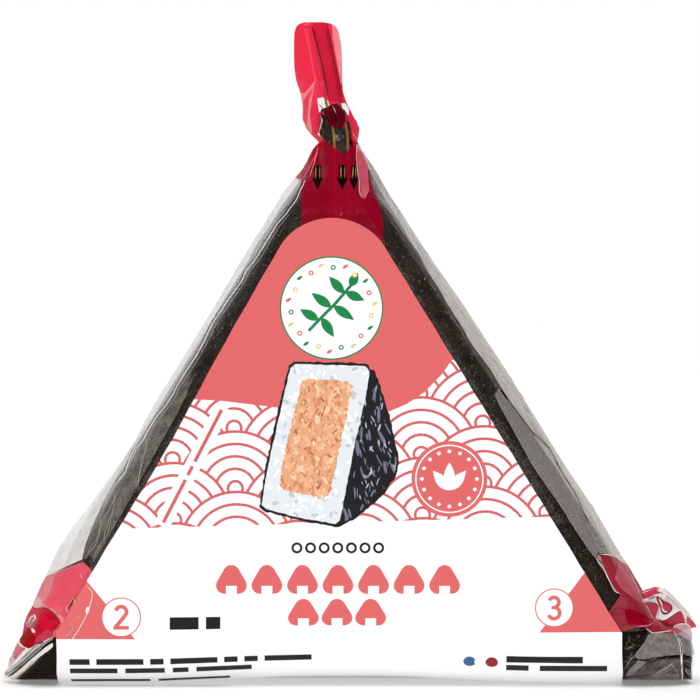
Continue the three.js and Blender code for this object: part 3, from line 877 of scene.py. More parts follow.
# rice ball in its seaweed
riceForm = dict(
    wrapForm, peak=91.2, halfDepth=14.75, floor=0.66, sideDraft=1.9, sideBevel=2.8, smallestRadius=1.3,
    neckFrom=76, neckTo=85.5, top=92.6, rowStep=0.7, stripColumns=30, middleColumns=24, sideColumns=36,
    swells=[(-1, 13, 9, -4.5), (-1, 6, 3, -2.5), (1, 56, 16, -1), (1, 24, 9, -0.5)],
    leftEdge=[(0.66, 53.4), (5.1, 48.6), (5.9, 47.3), (8, 45)],
    rightEdge=[(0.66, 54.5), (4, 55.1), (6.6, 54.9), (7.6, 53.2), (8.6, 51), (10, 48.5)],
    leftPoint=(0.95, 2.6, 1), rightPoint=(1, 5, 0.8),
    upper=[(76, -2, 9.3, 12.8), (79.6, -1.8, 7, 10.2), (82, -1.85, 5.6, 7.6), (84, -1.85, 4.1, 5.2),
        (85.3, -1.85, 3.3, 3.6), (86.9, -1.8, 2.3, 1.9), (88.5, -2.3, 2.7, 1.2), (91, -2.55, 2.5, 0.8),
        (92.3, -2.7, 1.9, 0.5), (92.6, -2.7, 1.2, 0.3)])
# height and size in mm of the rice grains pushing through the sheet, its wrinkles and its sags
riceSurface = [(0.2, 4.2), (0.09, 1.3), (0.25, 14)]


def riceHeights(points):
    heights = -0.15 * np.ones(len(points))
    for seed, (height, size) in enumerate(riceSurface):
        heights += height * noiseAt(points, size, 20 + seed)
    # calmer in the neck and at the foot
    z = points[:, 2]
    return heights * ((1 - 0.8 * smoothStep(z, 84, 88)) * (0.3 + 0.7 * smoothStep(z, 0.7, 3.5)))


rice = makePiece("nori_onigiri", *raisedForm(riceForm, riceHeights), [seaweed])
placed(rice, "film_pack")
print("stage: seaweed")


# layers and edges that lie on the skin
def onSkin(x, z, lift):
    # the point of the skin's front at a place, lifted off it
    hit, normal, _, _ = skinTree.ray_cast(Vector((x, -60, z)), Vector((0, 1, 0)))
    if hit is None:
        hit, normal, _, _ = skinTree.find_nearest(Vector((x, 0, z)))
    if normal.y > 0:
        normal = -normal
    return np.array(hit + normal * lift)


def alongRim(outline, spacing):
    # even points along each side of a closed outline
    points = []
    for a, b in zip(outline, np.roll(outline, -1, 0)):
        count = max(int(np.hypot(*(b - a)) / spacing), 1)
        points += [a + (b - a) * i / count for i in range(count)]
    return points


def filled(outline, spacing, cuts=()):
    # triangles that fill an outline, with points on a grid inside it, split along the cuts
    outline = np.array(outline, float)
    rim = np.array(alongRim(outline, spacing))
    low, high = outline.min(0), outline.max(0)
    x, z = np.meshgrid(np.arange(low[0], high[0], spacing), np.arange(low[1], high[1], spacing))
    inner = np.stack([x.ravel() + spacing * 0.25 * (np.arange(x.size) % 2), z.ravel()], -1)
    away = rimOffsets(inner, rim)
    inner = inner[inside(inner, rim) & (away > spacing * 0.4)]
    edges = [(i, (i + 1) % len(rim)) for i in range(len(rim))]
    points = [*rim, *inner]
    for cut in cuts:
        edges += [(len(points) + i, len(points) + (i + 1) % len(cut)) for i in range(len(cut))]
        points += cut
    flat, _, faces, *_ = delaunay_2d_cdt([Vector(p) for p in points], edges, [], 0, 1e-5)
    flat = np.array([tuple(p) for p in flat])
    faces = [f for f in faces if inside(flat[list(f)].mean(0)[None], rim)[0]]
    return flat, faces


def smoothed(path, spacing):
    # a path resampled evenly and rounded a little
    path = np.array(path, float)
    lengths = np.r_[0, np.cumsum(np.hypot(*np.diff(path, axis=0).T))]
    along = np.linspace(0, lengths[-1], max(int(lengths[-1] / spacing), 4))
    dense = np.stack([np.interp(along, lengths, path[:, i]) for i in (0, 1)], -1)
    for _ in range(3):
        dense[1:-1] = dense[1:-1] * 0.5 + (dense[:-2] + dense[2:]) * 0.25
    return dense


def endTaper(count, steps, least):
    # grows from either end of a path to 1 in the middle
    return np.clip(np.minimum(np.arange(count), np.arange(count)[::-1]) / steps, least, 1)


def disc(centre, radius, count, squash=1, turn=0):
    angles = np.linspace(0, 2 * math.pi, count, endpoint=False)
    x, z = radius * np.cos(angles), radius * squash * np.sin(angles)
    return [(centre[0] + a * math.cos(turn) - b * math.sin(turn),
        centre[1] + a * math.sin(turn) + b * math.cos(turn)) for a, b in zip(x, z)]


layerSettings = {
    "ripple": 1.8,      # size in mm of a sheet's ripples
    "curl": 0.35,       # how far in from its rim a sheet curls up
    "spacing": 0.22,        # mm between an edge's rings
    "waver": 1.1,       # sizes in mm of how an edge wavers and swells
    "swell": 1.6,
    "thinnest": 0.75,       # share of an edge's radius, and what the swelling adds
    "thicker": 0.45,
    "ends": (3, 0.15),      # how many rings its ends taper over, and from what share
}


class Layers:
    # gathers sheets and edges that become one piece
    def __init__(self):
        self.points, self.faces, self.kinds, self.names = [], [], [], []

    def add(self, points, faces, kind):
        if kind not in self.names:
            self.names.append(kind)
        first = sum(len(p) for p in self.points)
        self.points.append(np.asarray(points, float))
        self.faces += [[first + i for i in face] for face in faces]
        self.kinds += [self.names.index(kind)] * len(faces)

    def sheet(self, outline, lift, kind, spacing, wave=0.08, curl=0.12):
        flat, faces = filled(outline, spacing)
        ripples = noiseAt(standing(flat), layerSettings["ripple"], 40 + len(self.points))
        lifts = lift + wave * (ripples + 0.4)
        lifts = lifts + curl * np.exp(-rimOffsets(flat, outline) / layerSettings["curl"])
        self.add([onSkin(x, z, up) for (x, z), up in zip(flat, lifts)], faces, kind)

    def edge(self, path, radius, kind="filmEdge", lift=0.1, waver=0.06, sides=6):
        flat = smoothed(path, layerSettings["spacing"])
        grid = standing(flat)
        seed = 60 + len(self.points)
        shifts = [noiseAt(grid, layerSettings["waver"], seed + k) for k in (0, 1)]
        flat = flat + waver * np.stack(shifts, -1)
        centres = [onSkin(x, z, lift + radius * 0.5) for x, z in flat]
        swell = layerSettings["thicker"] * np.abs(noiseAt(grid, layerSettings["swell"], seed + 2))
        self.tube(centres, radius * (layerSettings["thinnest"] + swell), kind, sides)

    def tube(self, centres, radii, kind, sides=6):
        # the radii may be one number or one for each point
        centres = np.asarray(centres)
        taper = endTaper(len(centres), *layerSettings["ends"])
        tangents = np.gradient(centres, axis=0)
        tangents /= np.maximum(np.linalg.norm(tangents, axis=1, keepdims=True), 1e-9)
        out = np.cross(tangents, np.cross([0.02, -1, 0.01], tangents))
        out /= np.maximum(np.linalg.norm(out, axis=1, keepdims=True), 1e-9)
        aside = np.cross(tangents, out)
        turns = np.linspace(0, 2 * math.pi, sides, endpoint=False)
        rings = centres[:, None] + (radii * taper)[:, None, None] * (
            np.cos(turns)[None, :, None] * out[:, None] + np.sin(turns)[None, :, None] * aside[:, None])
        count = len(centres)
        faces = gridFaces(count, sides, closed=True)
        faces += [list(range(sides))[::-1], [(count - 1) * sides + i for i in range(sides)]]
        self.add(rings.reshape(-1, 3), faces, kind)

    def piece(self, name, slot):
        points = inBox(np.concatenate(self.points), 0.02)
        made = makePiece(name, points, self.faces, [film[n] for n in self.names], self.kinds)
        placed(made, "film_pack")


seamPaths = {
    "leftLap": [(-7, 80.4), (-8.4, 76.9), (-9.8, 75), (-11.4, 73.1), (-13.3, 70), (-14.4, 68.1),
        (-16.2, 65.9), (-17, 64), (-18.6, 61.9), (-20, 59.8), (-21.6, 57.4), (-22.9, 54.6), (-24.2, 52.2),
        (-25.6, 50.1), (-27.1, 47.7), (-27.7, 46.4), (-29, 44.4), (-30.4, 42.8), (-31.8, 40.5),
        (-32.6, 38.9), (-33.6, 38), (-34.5, 37), (-34.9, 35.3), (-35.3, 34.1), (-36.8, 32.1)],
    "leftTwigs": [
        [(-31.8, 39.5), (-32.4, 36.7), (-33, 34.1), (-33.7, 31.1)],
        [(-32.6, 37.3), (-33.2, 33.7), (-33.4, 31.3)],
        [(-36.6, 30.9), (-38, 27.9), (-39, 26.3), (-39.6, 24.1), (-41, 22.1), (-41.8, 20.2)],
        [(-37, 30.7), (-37.2, 28.3), (-37.6, 26.7), (-38.2, 24.1), (-40, 21.7), (-40.4, 20)],
        [(-37.2, 28.5), (-38.4, 25.2), (-38.9, 22.6)],
        [(-39.2, 26.7), (-39.8, 23.1), (-41, 21.5), (-41.6, 20.4)],
        [(-33.8, 37.4), (-35.2, 34), (-36.9, 31.6)]],
    "rightInner": [(22.9, 46.3), (24.8, 42.8), (27.1, 38.6), (28.8, 35.4), (30.8, 32.5), (32.5, 30.1),
        (34.1, 27.7), (35.7, 25), (37.3, 22.6), (38.9, 20.5), (40.5, 18.1), (41.8, 15.4), (42.7, 14.9)],
    "rightOuter": [(23.5, 47.4), (26.1, 43.9), (28.8, 40.4), (32, 37.5), (33.6, 34), (36, 30.1),
        (37.8, 25.5), (39.4, 22.1)],
    "redTop": [(39.6, 21.1), (41.1, 20.9), (42.7, 20.3), (44.1, 19.2)],
    # the far side of the milky film along the lap, then of the strips beside it: these also have
    # whether a point moves with the strip
    "lapBorder": [(-40.1, 25.1), (-41.8, 20.7), (-45.2, 19.2), (-43.6, 23.5), (-41, 28.5), (-38.2, 32.6),
        (-35.4, 37.6), (-31.2, 43.2), (-28.4, 47.6), (-25, 53.5), (-22.6, 57.6)],
    "seamBorder": [(-38.8, 28.2, 1), (-41.4, 21.5, 1), (-40.4, 20, 0), (-38, 24, 0), (-34.8, 29.6, 0),
        (-31.2, 36.2, 0), (-27.2, 43.4, 0), (-25.6, 46.6, 0)],
}


creases = {
    # side, how many, the heights they lie between, how far out from the label, their lean and length
    "sides": [
        (-1, 50, (17, 79), (0.4, 3.8), 0.15, (0.3, 1)), (-1, 60, (21, 41), (0.8, 4.6), 0.1, (0.8, 2.6)),
        (-1, 20, (40, 79), (1.6, 4.6), 0.1, (1.2, 3)), (1, 36, (15, 79), (0.3, 3.4), 0.2, (0.2, 0.7)),
        (1, 16, (22, 79), (2.6, 4.8), 0.12, (1, 3))],
    # between the ends of the red print at the top there are none
    "bareAbove": 66,
    # at the right ear: how many fine folds and spots of seaweed, and the place where they lie
    "pocket": (130, (43.2, 52), (0.9, 7.6)),
    "mottles": (260, (43.4, 54), (0.9, 8.2)),
    # side, how many, heights, how far out, how large and which looks
    "specks": [
        (1, 420, (18, 50), (0.4, 4.9), (0.03, 0.09), "dull"),
        (1, 260, (46, 80), (0.3, 4), (0.03, 0.09), "dull"),
        (1, 300, (14, 30), (0.3, 3), (0.05, 0.16), "olive"),
        (1, 260, (30, 76), (0.3, 3), (0.05, 0.14), "olive"),
        (-1, 420, (21, 80), (0.4, 4.4), (0.03, 0.09), "dull"),
        (-1, 240, (24, 80), (0.3, 2.6), (0.05, 0.14), "olive"),
        (1, 110, (46, 84), (3.1, 4.1), (0.03, 0.08), "bright")],
    "looks": {
        "mixed": ["creaseLight", "silverFold", "silverFold", "foldShadow"],
        "bright": ["creaseLight"],
        "dull": ["silverFold", "oliveFleck", "foldShadow"],
        "olive": ["oliveFleck", "foldShadow", "oliveFleck"]},
    "radius": (0.012, 0.028),
}


def besideLabel(side, z, out):
    # a place beside the label, some millimetres out from its edge
    middle = labelForm["shiftX"] + wrapForm["axisX"] - wrapForm["lean"] * z
    return middle + side * float(labelHalfWidth(z)) + side * out


def buildCreases(layers):
    dice = random.Random(5)
    slope = math.tan(wrapForm["halfAngle"])
    looks = creases["looks"]

    def crease(x, z, stepX, stepZ, shake, radii, waver):
        # a short line of four points from a place
        path = [(x + stepX * k + dice.gauss(0, shake), z + stepZ * k + dice.gauss(0, shake))
            for k in range(4)]
        layers.edge(path, dice.uniform(*radii), dice.choice(looks["mixed"]), 0.03, waver, 5)

    def spot(x, z, size, corners, squash, turn, lift, kind):
        outline = disc((x, z), size, corners, squash, turn)
        layers.add([onSkin(a, b, lift) for a, b in outline], [list(range(corners))], kind)

    for side, count, heights, outs, lean, lengths in creases["sides"]:
        for _ in range(count):
            z = dice.uniform(*heights)
            x = besideLabel(side, z, dice.uniform(*outs))
            if z > creases["bareAbove"] and -9.2 < x < 7:
                continue
            length = dice.uniform(*lengths)
            turn = dice.gauss(0, lean)
            crease(x, z, -side * (slope + turn) * length / 3, length / 3, 0.06, creases["radius"], 0.05)
    count, across, up = creases["pocket"]
    for _ in range(count):
        x, z = dice.uniform(*across), dice.uniform(*up)
        if z < 4.4 or x < 45:
            turn = dice.uniform(0.2, 1.3)
            length = dice.uniform(0.4, 1.6) / 3
            crease(x, z, length * math.cos(turn), length * math.sin(turn), 0.05, (0.02, 0.06), 0.03)
    count, across, up = creases["mottles"]
    for _ in range(count):
        x, z = dice.uniform(*across), dice.uniform(*up)
        size, squash, turn = dice.uniform(0.1, 0.42), dice.uniform(0.3, 0.9), dice.uniform(0, math.pi)
        kind = dice.choice(looks["olive"]) if z < 4.6 or x < 46.5 else "foldShadow"
        if kind != "foldShadow" or dice.random() < 0.3:
            spot(x, z, size, 7, squash, turn, 0.05, kind)
    for side, count, heights, outs, sizes, group in creases["specks"]:
        for _ in range(count):
            z = dice.uniform(*heights)
            x = besideLabel(side, z, dice.uniform(*outs))
            if z > creases["bareAbove"] and -8.5 < x < 6.2:
                continue
            size, turn, squash = dice.uniform(*sizes), dice.uniform(0, math.pi), dice.uniform(0.4, 1)
            spot(x, z, size, 6, squash, turn, 0.04, dice.choice(looks[group]))


def buildSeams():
    layers = Layers()
    left, inner, outer = seamPaths["leftLap"], seamPaths["rightInner"], seamPaths["rightOuter"]
    # the lap's outer film is milky towards the corner
    layers.sheet([*left[7:], *seamPaths["lapBorder"]], 0.08, "mistFilm", 0.5, 0.06, 0)
    for aside in (0, 0.7, 1.5):
        border = [(x + aside * moves, z) for x, z, moves in seamPaths["seamBorder"]]
        layers.sheet([*((x + aside, z) for x, z in left[13:]), *border], 0.08 + 0.04 * aside, "mistFilm",
            0.5, 0.06, 0)
    layers.edge(left, 0.07, "filmEdge", 0.22)
    layers.edge([(x + 0.5, z - 0.1) for x, z in left[2:20]], 0.035, "creaseLight", 0.2)
    layers.edge([(x - 0.3, z + 0.1) for x, z in left], 0.06, "foldShadow", 0.2)
    for path in seamPaths["leftTwigs"]:
        layers.edge(path, 0.034, "creaseLight", 0.2, 0.09)
    layers.sheet([*inner[:10], *outer[::-1]], 0.12, "hazyFilm", 0.45)
    layers.sheet([*inner[9:], (42.2, 15.3), (41.2, 16.6), (40.2, 19), (39.3, 21.2)], 0.15,
        "speckledFilm", 0.3)
    layers.sheet([(37.2, 25.4), (38.8, 22.6), (39.3, 21.2), (41.6, 20.9), (38, 27)], 0.16,
        "speckledFilm", 0.4)
    layers.edge(inner[9:], 0.09)
    layers.edge(inner[:10], 0.045, "creaseLight")
    layers.edge([(x + 0.1, z + 0.1) for x, z in outer], 0.09, "foldShadow")
    layers.edge([(x - 0.05, z) for x, z in outer[:5]], 0.17, "foldShadow")
    layers.edge(seamPaths["redTop"], 0.09)
    buildCreases(layers)
    layers.piece("film_side_laps", "film")


buildSeams()
print("stage: side seams")


# folded ears at the lower corners
tail = {
    # lines of the pleats from the label's corner to the tip, from the top one down
    "lines": [
        [(-46.9, 7.9), (-48.2, 7.4), (-49.4, 7), (-50, 6.5), (-50.8, 5.7), (-51.9, 4.7), (-52.9, 3.6),
            (-54.4, 2.3), (-55.5, 1.2)],
        [(-46.9, 7.7), (-48, 7), (-50, 5), (-53.2, 2.2), (-54.7, 1.1)],
        [(-46.9, 7.2), (-48.2, 6.4), (-52.7, 2.3), (-53.7, 1.5), (-54.5, 1.1)],
        [(-46.9, 6.5), (-47.5, 6), (-48.6, 5.2), (-50.2, 4), (-51.2, 3.1), (-51.9, 2.4), (-52.9, 1.6),
            (-53.7, 0.95)]],
    # bands between them: silvery pleats, painted shade, and a white band that is a painted highlight along
    # the fold's ridge
    "kinds": ["silverFold", "foldShadow", "filmEdge"],
    "lifts": [0.1, 0.32, 0.3, 0.16],
    # fine lines over the pleats: kind, radius and path; the dark ones are painted shade in the creases, the
    # white ones sealed edges and painted highlights
    "marks": [
        ("foldShadow", 0.11, [(-48, 7.4), (-49.4, 7), (-50.1, 6.4)]),
        ("foldShadow", 0.1, [(-50.7, 5.75), (-51.1, 5.35), (-51.6, 4.8)]),
        ("foldShadow", 0.05, [(-48.3, 6.9), (-49.4, 6), (-50.6, 4.9), (-52, 3.5), (-53.6, 2.2)]),
        ("foldShadow", 0.05, [(-50.6, 5.5), (-51.7, 4.4), (-52.9, 3.1), (-54.2, 1.9)]),
        ("filmEdge", 0.07, [(-48.5, 7.1), (-49.6, 6.3), (-50.7, 5.2), (-52.1, 3.9), (-53.4, 2.7),
            (-54.8, 1.5)]),
        ("filmEdge", 0.06, [(-48.1, 7.1), (-49, 6.4), (-50.1, 5.4)]),
        ("filmEdge", 0.1, [(-51.1, 6), (-51.9, 5.2), (-52.7, 4.1), (-53.5, 3.3), (-54.9, 1.8)]),
        ("paleFilm", 0.09, [(-50.9, 4.9), (-51.6, 4.2), (-52.4, 3.5)]),
        ("filmEdge", 0.06, [(-53.2, 5.2), (-53.9, 3.7), (-55.5, 1.3)]),
        ("filmEdge", 0.08, [(-53.1, 6.7), (-52.3, 6.3), (-51.3, 5.9)]),
        ("foldShadow", 0.05, [(-53.1, 6.4), (-53.5, 5.4), (-53.8, 4.3)]),
        # painted highlight: a white curl of light on the bulge
        ("filmEdge", 0.12, [(-50.9, 9.9), (-51, 10.3), (-50.6, 10.8), (-49.9, 11.2), (-49.6, 11),
            (-49.8, 10.6), (-50.3, 10.2)]),
        ("filmEdge", 0.07, [(-46.9, 8), (-49.2, 7), (-50.4, 6.2)]),
        ("foldShadow", 0.08, [(-46.9, 8.9), (-46.2, 9.8), (-45.8, 10.2)]),
        ("foldShadow", 0.05, [(-50.1, 12.2), (-49.6, 12.2), (-48.9, 12.6), (-48, 12.6), (-47.1, 12.2),
            (-45.8, 10.9), (-45.6, 10.4)]),
        ("creaseLight", 0.05, [(-46.8, 8.5), (-46.3, 9), (-45.4, 9.8)]),
        ("filmEdge", 0.06, [(-44.4, 13.2), (-44.8, 12.9), (-44.8, 12.2), (-44.4, 11.8), (-44, 12.2)]),
        ("foldShadow", 0.09, [(-44.6, 12.3), (-43.6, 13.9), (-43.3, 14.7)]),
        ("creaseLight", 0.05, [(-44.3, 13.1), (-43.9, 13.6), (-43.9, 14.1), (-43.5, 14.5)]),
        ("filmEdge", 0.06, [(-42.6, 18.1), (-42.35, 17.7), (-42.45, 17.4), (-42.1, 17.2)]),
        ("creaseLight", 0.05, [(-50.2, 13.8), (-48.9, 16.9), (-42.1, 19.8)])],
    # small fields of film beside them: look, lift, spacing of the points and outline
    "sheets": [
        ("redPanelFilm", 0.06, 0.35, [(-53, 6.5), (-52.3, 6.2), (-51.2, 6), (-51.7, 5.4), (-52.7, 4.3),
            (-53.4, 3.9), (-53.8, 4.6), (-53.5, 5.6)]),
        ("paleFilm", 0.05, 0.35, [(-53.5, 5.4), (-53.5, 3.9), (-52.9, 4.1), (-53.9, 2.7), (-55.3, 1.3),
            (-55.7, 1.2), (-55, 2.9), (-54.2, 4.4)]),
        # painted highlight: a white glint on the bulge
        ("filmEdge", 0.1, 0.2, [(-50.26, 9.15), (-49.91, 9.32), (-49.56, 8.97), (-49.64, 8.62),
            (-50, 8.7)])],
}


def buildTail():
    layers = Layers()
    rows = [smoothed(line, 0.2) for line in tail["lines"]]
    count = min(len(row) for row in rows)
    for number, row in enumerate(rows):
        places = np.linspace(0, len(row) - 1, count)
        rows[number] = np.stack([np.interp(places, range(len(row)), row[:, i]) for i in (0, 1)], -1)
    fade = endTaper(count, 10, 0.35)
    steps = 5
    for number, kind in enumerate(tail["kinds"]):
        top, low = rows[number], rows[number + 1]
        grid = []
        for s in range(steps + 1):
            share = s / steps
            flat = top * (1 - share) + low * share
            lift = tail["lifts"][number] * (1 - share) + tail["lifts"][number + 1] * share
            bulge = 0.14 * math.sin(math.pi * share) * (1 if number % 2 else -0.4)
            grid += [onSkin(x, z, (lift + bulge) * f) for (x, z), f in zip(flat, fade)]
        layers.add(grid, gridFaces(steps + 1, count), kind)
    for kind, radius, path in tail["marks"]:
        # long lines that run down to the tip lie over the pleats
        over = len(path) > 4 and path[-1][1] < 4
        layers.edge(path, radius, kind, 0.3 if over else 0.08, 0.05)
    for kind, lift, spacing, outline in tail["sheets"]:
        layers.sheet(outline, lift, kind, spacing)
    layers.piece("film_left_tail", "film")


buildTail()

cornerFlap = {
    # clear film that laps over the label's lower left corner: its free edge, then the way back
    "edge": [(-41.5, 16.3), (-40.5, 15), (-41.2, 12.2), (-42.8, 9.2), (-44.2, 7.2)],
    "back": [(-45.6, 7.7), (-46.2, 8.6), (-43.1, 14.2)],
    "face": -15.53,     # its depth, just off the label
    # look, radius and path of each line on it: painted highlights on its ripples
    "marks": [
        ("filmEdge", 0.06, [(-43.18, 11.45), (-42.95, 11.1), (-42.7, 11), (-42.47, 11.19)]),
        ("paleFilm", 0.05, [(-44.4, 10.7), (-43.5, 9.5), (-45.1, 7.9)]),
        ("filmEdge", 0.06, [(-43.6, 14.4), (-43.4, 13.9), (-43.5, 13.2)])],
    # painted highlight: a small white glint on the flap
    "glintSpot": [(-41.5, 12.9), (-41.1, 12.9), (-41.1, 12.2), (-41.5, 11.6), (-41.7, 12.2)],
}


def buildCornerFlap():
    layers, face = Layers(), cornerFlap["face"]
    flat, faces = filled([*cornerFlap["edge"], *cornerFlap["back"]], 0.4)
    ripples = noiseAt(standing(flat), 1.6, 90)
    layers.add([(x, face - 0.04 * r, z) for (x, z), r in zip(flat, ripples)], faces, "flatFilm")
    for kind, radius, path in [("filmEdge", 0.07, cornerFlap["edge"]), *cornerFlap["marks"]]:
        layers.tube([(x, face + 0.02, z) for x, z in smoothed(path, 0.2)], radius, kind)
    flat, faces = filled(cornerFlap["glintSpot"], 0.2)
    layers.add([(x, face - 0.05, z) for x, z in flat], faces, "filmEdge")
    layers.piece("film_corner_flap", "film")


buildCornerFlap()
print("stage: left ear")

pocket = {
    # milky double film below the right ear, and thinner mist where it creases
    "sheets": [
        ("smokyFilm", [(47.2, 8.5), (48.3, 8.6), (51.8, 8.1), (52.5, 5.6), (52.3, 5.1), (49, 5), (46.5, 4.6),
            (45.1, 5.3), (46, 6.3), (46.8, 7.6)]),
        ("smokyFilm", [(52.3, 7.9), (54.5, 6.6), (54.8, 4.7), (52.9, 5.2), (52.6, 6.3)]),
        ("hazyFilm", [(48, 1.9), (48.6, 2.5), (49.6, 3.2), (51.4, 3.9), (48.4, 1.7)]),
        ("hazyFilm", [(44.2, 2.8), (45.6, 4.4), (47, 4.1), (44.9, 2.2), (43.9, 1.7)]),
        ("mistFilm", [(43.8, 0.6), (45, 2.4), (46.6, 3.6), (49, 4.4), (52.3, 4.5), (52.8, 2.5), (53, 0.6)]),
        ("mistFilm", [(46, 0.6), (47.4, 2), (48.8, 1.6), (50.3, 2.4), (52.2, 2), (52.4, 0.6)]),
        ("mistFilm", [(53.2, 2.9), (54.5, 2.3), (54.4, 1.5), (53.6, 1.9), (53.1, 2.5)])],
    # kind, radius and path of each seam and crease
    "marks": [
        ("filmEdge", 0.13, [(51.5, 8.6), (52.1, 7.5), (52.4, 6.3), (53, 0.8)]),
        ("filmEdge", 0.07, [(52.2, 8.1), (52.6, 7), (52.9, 5.6), (52.7, 4.4), (53, 3.5)]),
        ("foldShadow", 0.07, [(52, 8.1), (52.6, 6), (52.7, 5)]),
        ("filmEdge", 0.08, [(46.7, 9.5), (47.7, 8.6), (51.5, 8.7)]),
        ("foldShadow", 0.16, [(46.4, 4.6), (49, 4.9), (52.2, 4.9)]),
        ("foldShadow", 0.24, [(52.8, 4.7), (53.6, 4.5), (54.7, 4.2)]),
        ("foldShadow", 0.12, [(52.9, 3.8), (53.4, 3.1), (54.4, 2.5)]),
        ("foldShadow", 0.1, [(53, 3.1), (53.4, 1.9), (54.2, 0.9)]),
        ("foldShadow", 0.08, [(52.2, 8.1), (53.4, 7.4), (54.6, 6.6)]),
        ("foldShadow", 0.06, [(48.3, 8.4), (49.9, 8.3), (51.6, 8)]),
        ("creaseLight", 0.06, [(45.1, 5.2), (44.5, 4.7), (43.7, 3.3)]),
        ("creaseLight", 0.07, [(46.5, 4.5), (45.4, 4.9), (45.1, 5.2), (46.9, 7.5)]),
        ("creaseLight", 0.05, [(48.3, 1.2), (49.7, 2.2), (51.5, 3.1)]),
        ("creaseLight", 0.05, [(50.8, 4), (51.8, 2.8), (52.5, 1)]),
        ("creaseLight", 0.06, [(53, 4.1), (53.8, 3.9), (54.4, 3.5)]),
        ("creaseLight", 0.05, [(53.05, 2.77), (54.38, 1.53)]),
        # along the red panel above it
        ("creaseLight", 0.07, [(44, 19.2), (45.2, 17.1), (46.7, 13.6), (48.4, 10.4)]),
        # painted highlights: a pale line along the panel's lower edge and a white dot beside it
        ("redBandFilm", 0.1, [(48.5, 10.3), (47.9, 9.9), (45.3, 9.8)]),
        ("filmEdge", 0.08, [(47.5, 10.35), (47.7, 10.5), (47.6, 10.25)]),
        ("foldShadow", 0.05, [(48.8, 10.4), (49.1, 9.9), (49, 9)])],
}


def buildPocket():
    layers = Layers()
    for kind, outline in pocket["sheets"]:
        layers.sheet(outline, 0.12, kind, 0.4, 0.12)
    for kind, radius, path in pocket["marks"]:
        layers.edge(path, radius, kind)
    layers.piece("film_right_pocket", "film")


buildPocket()

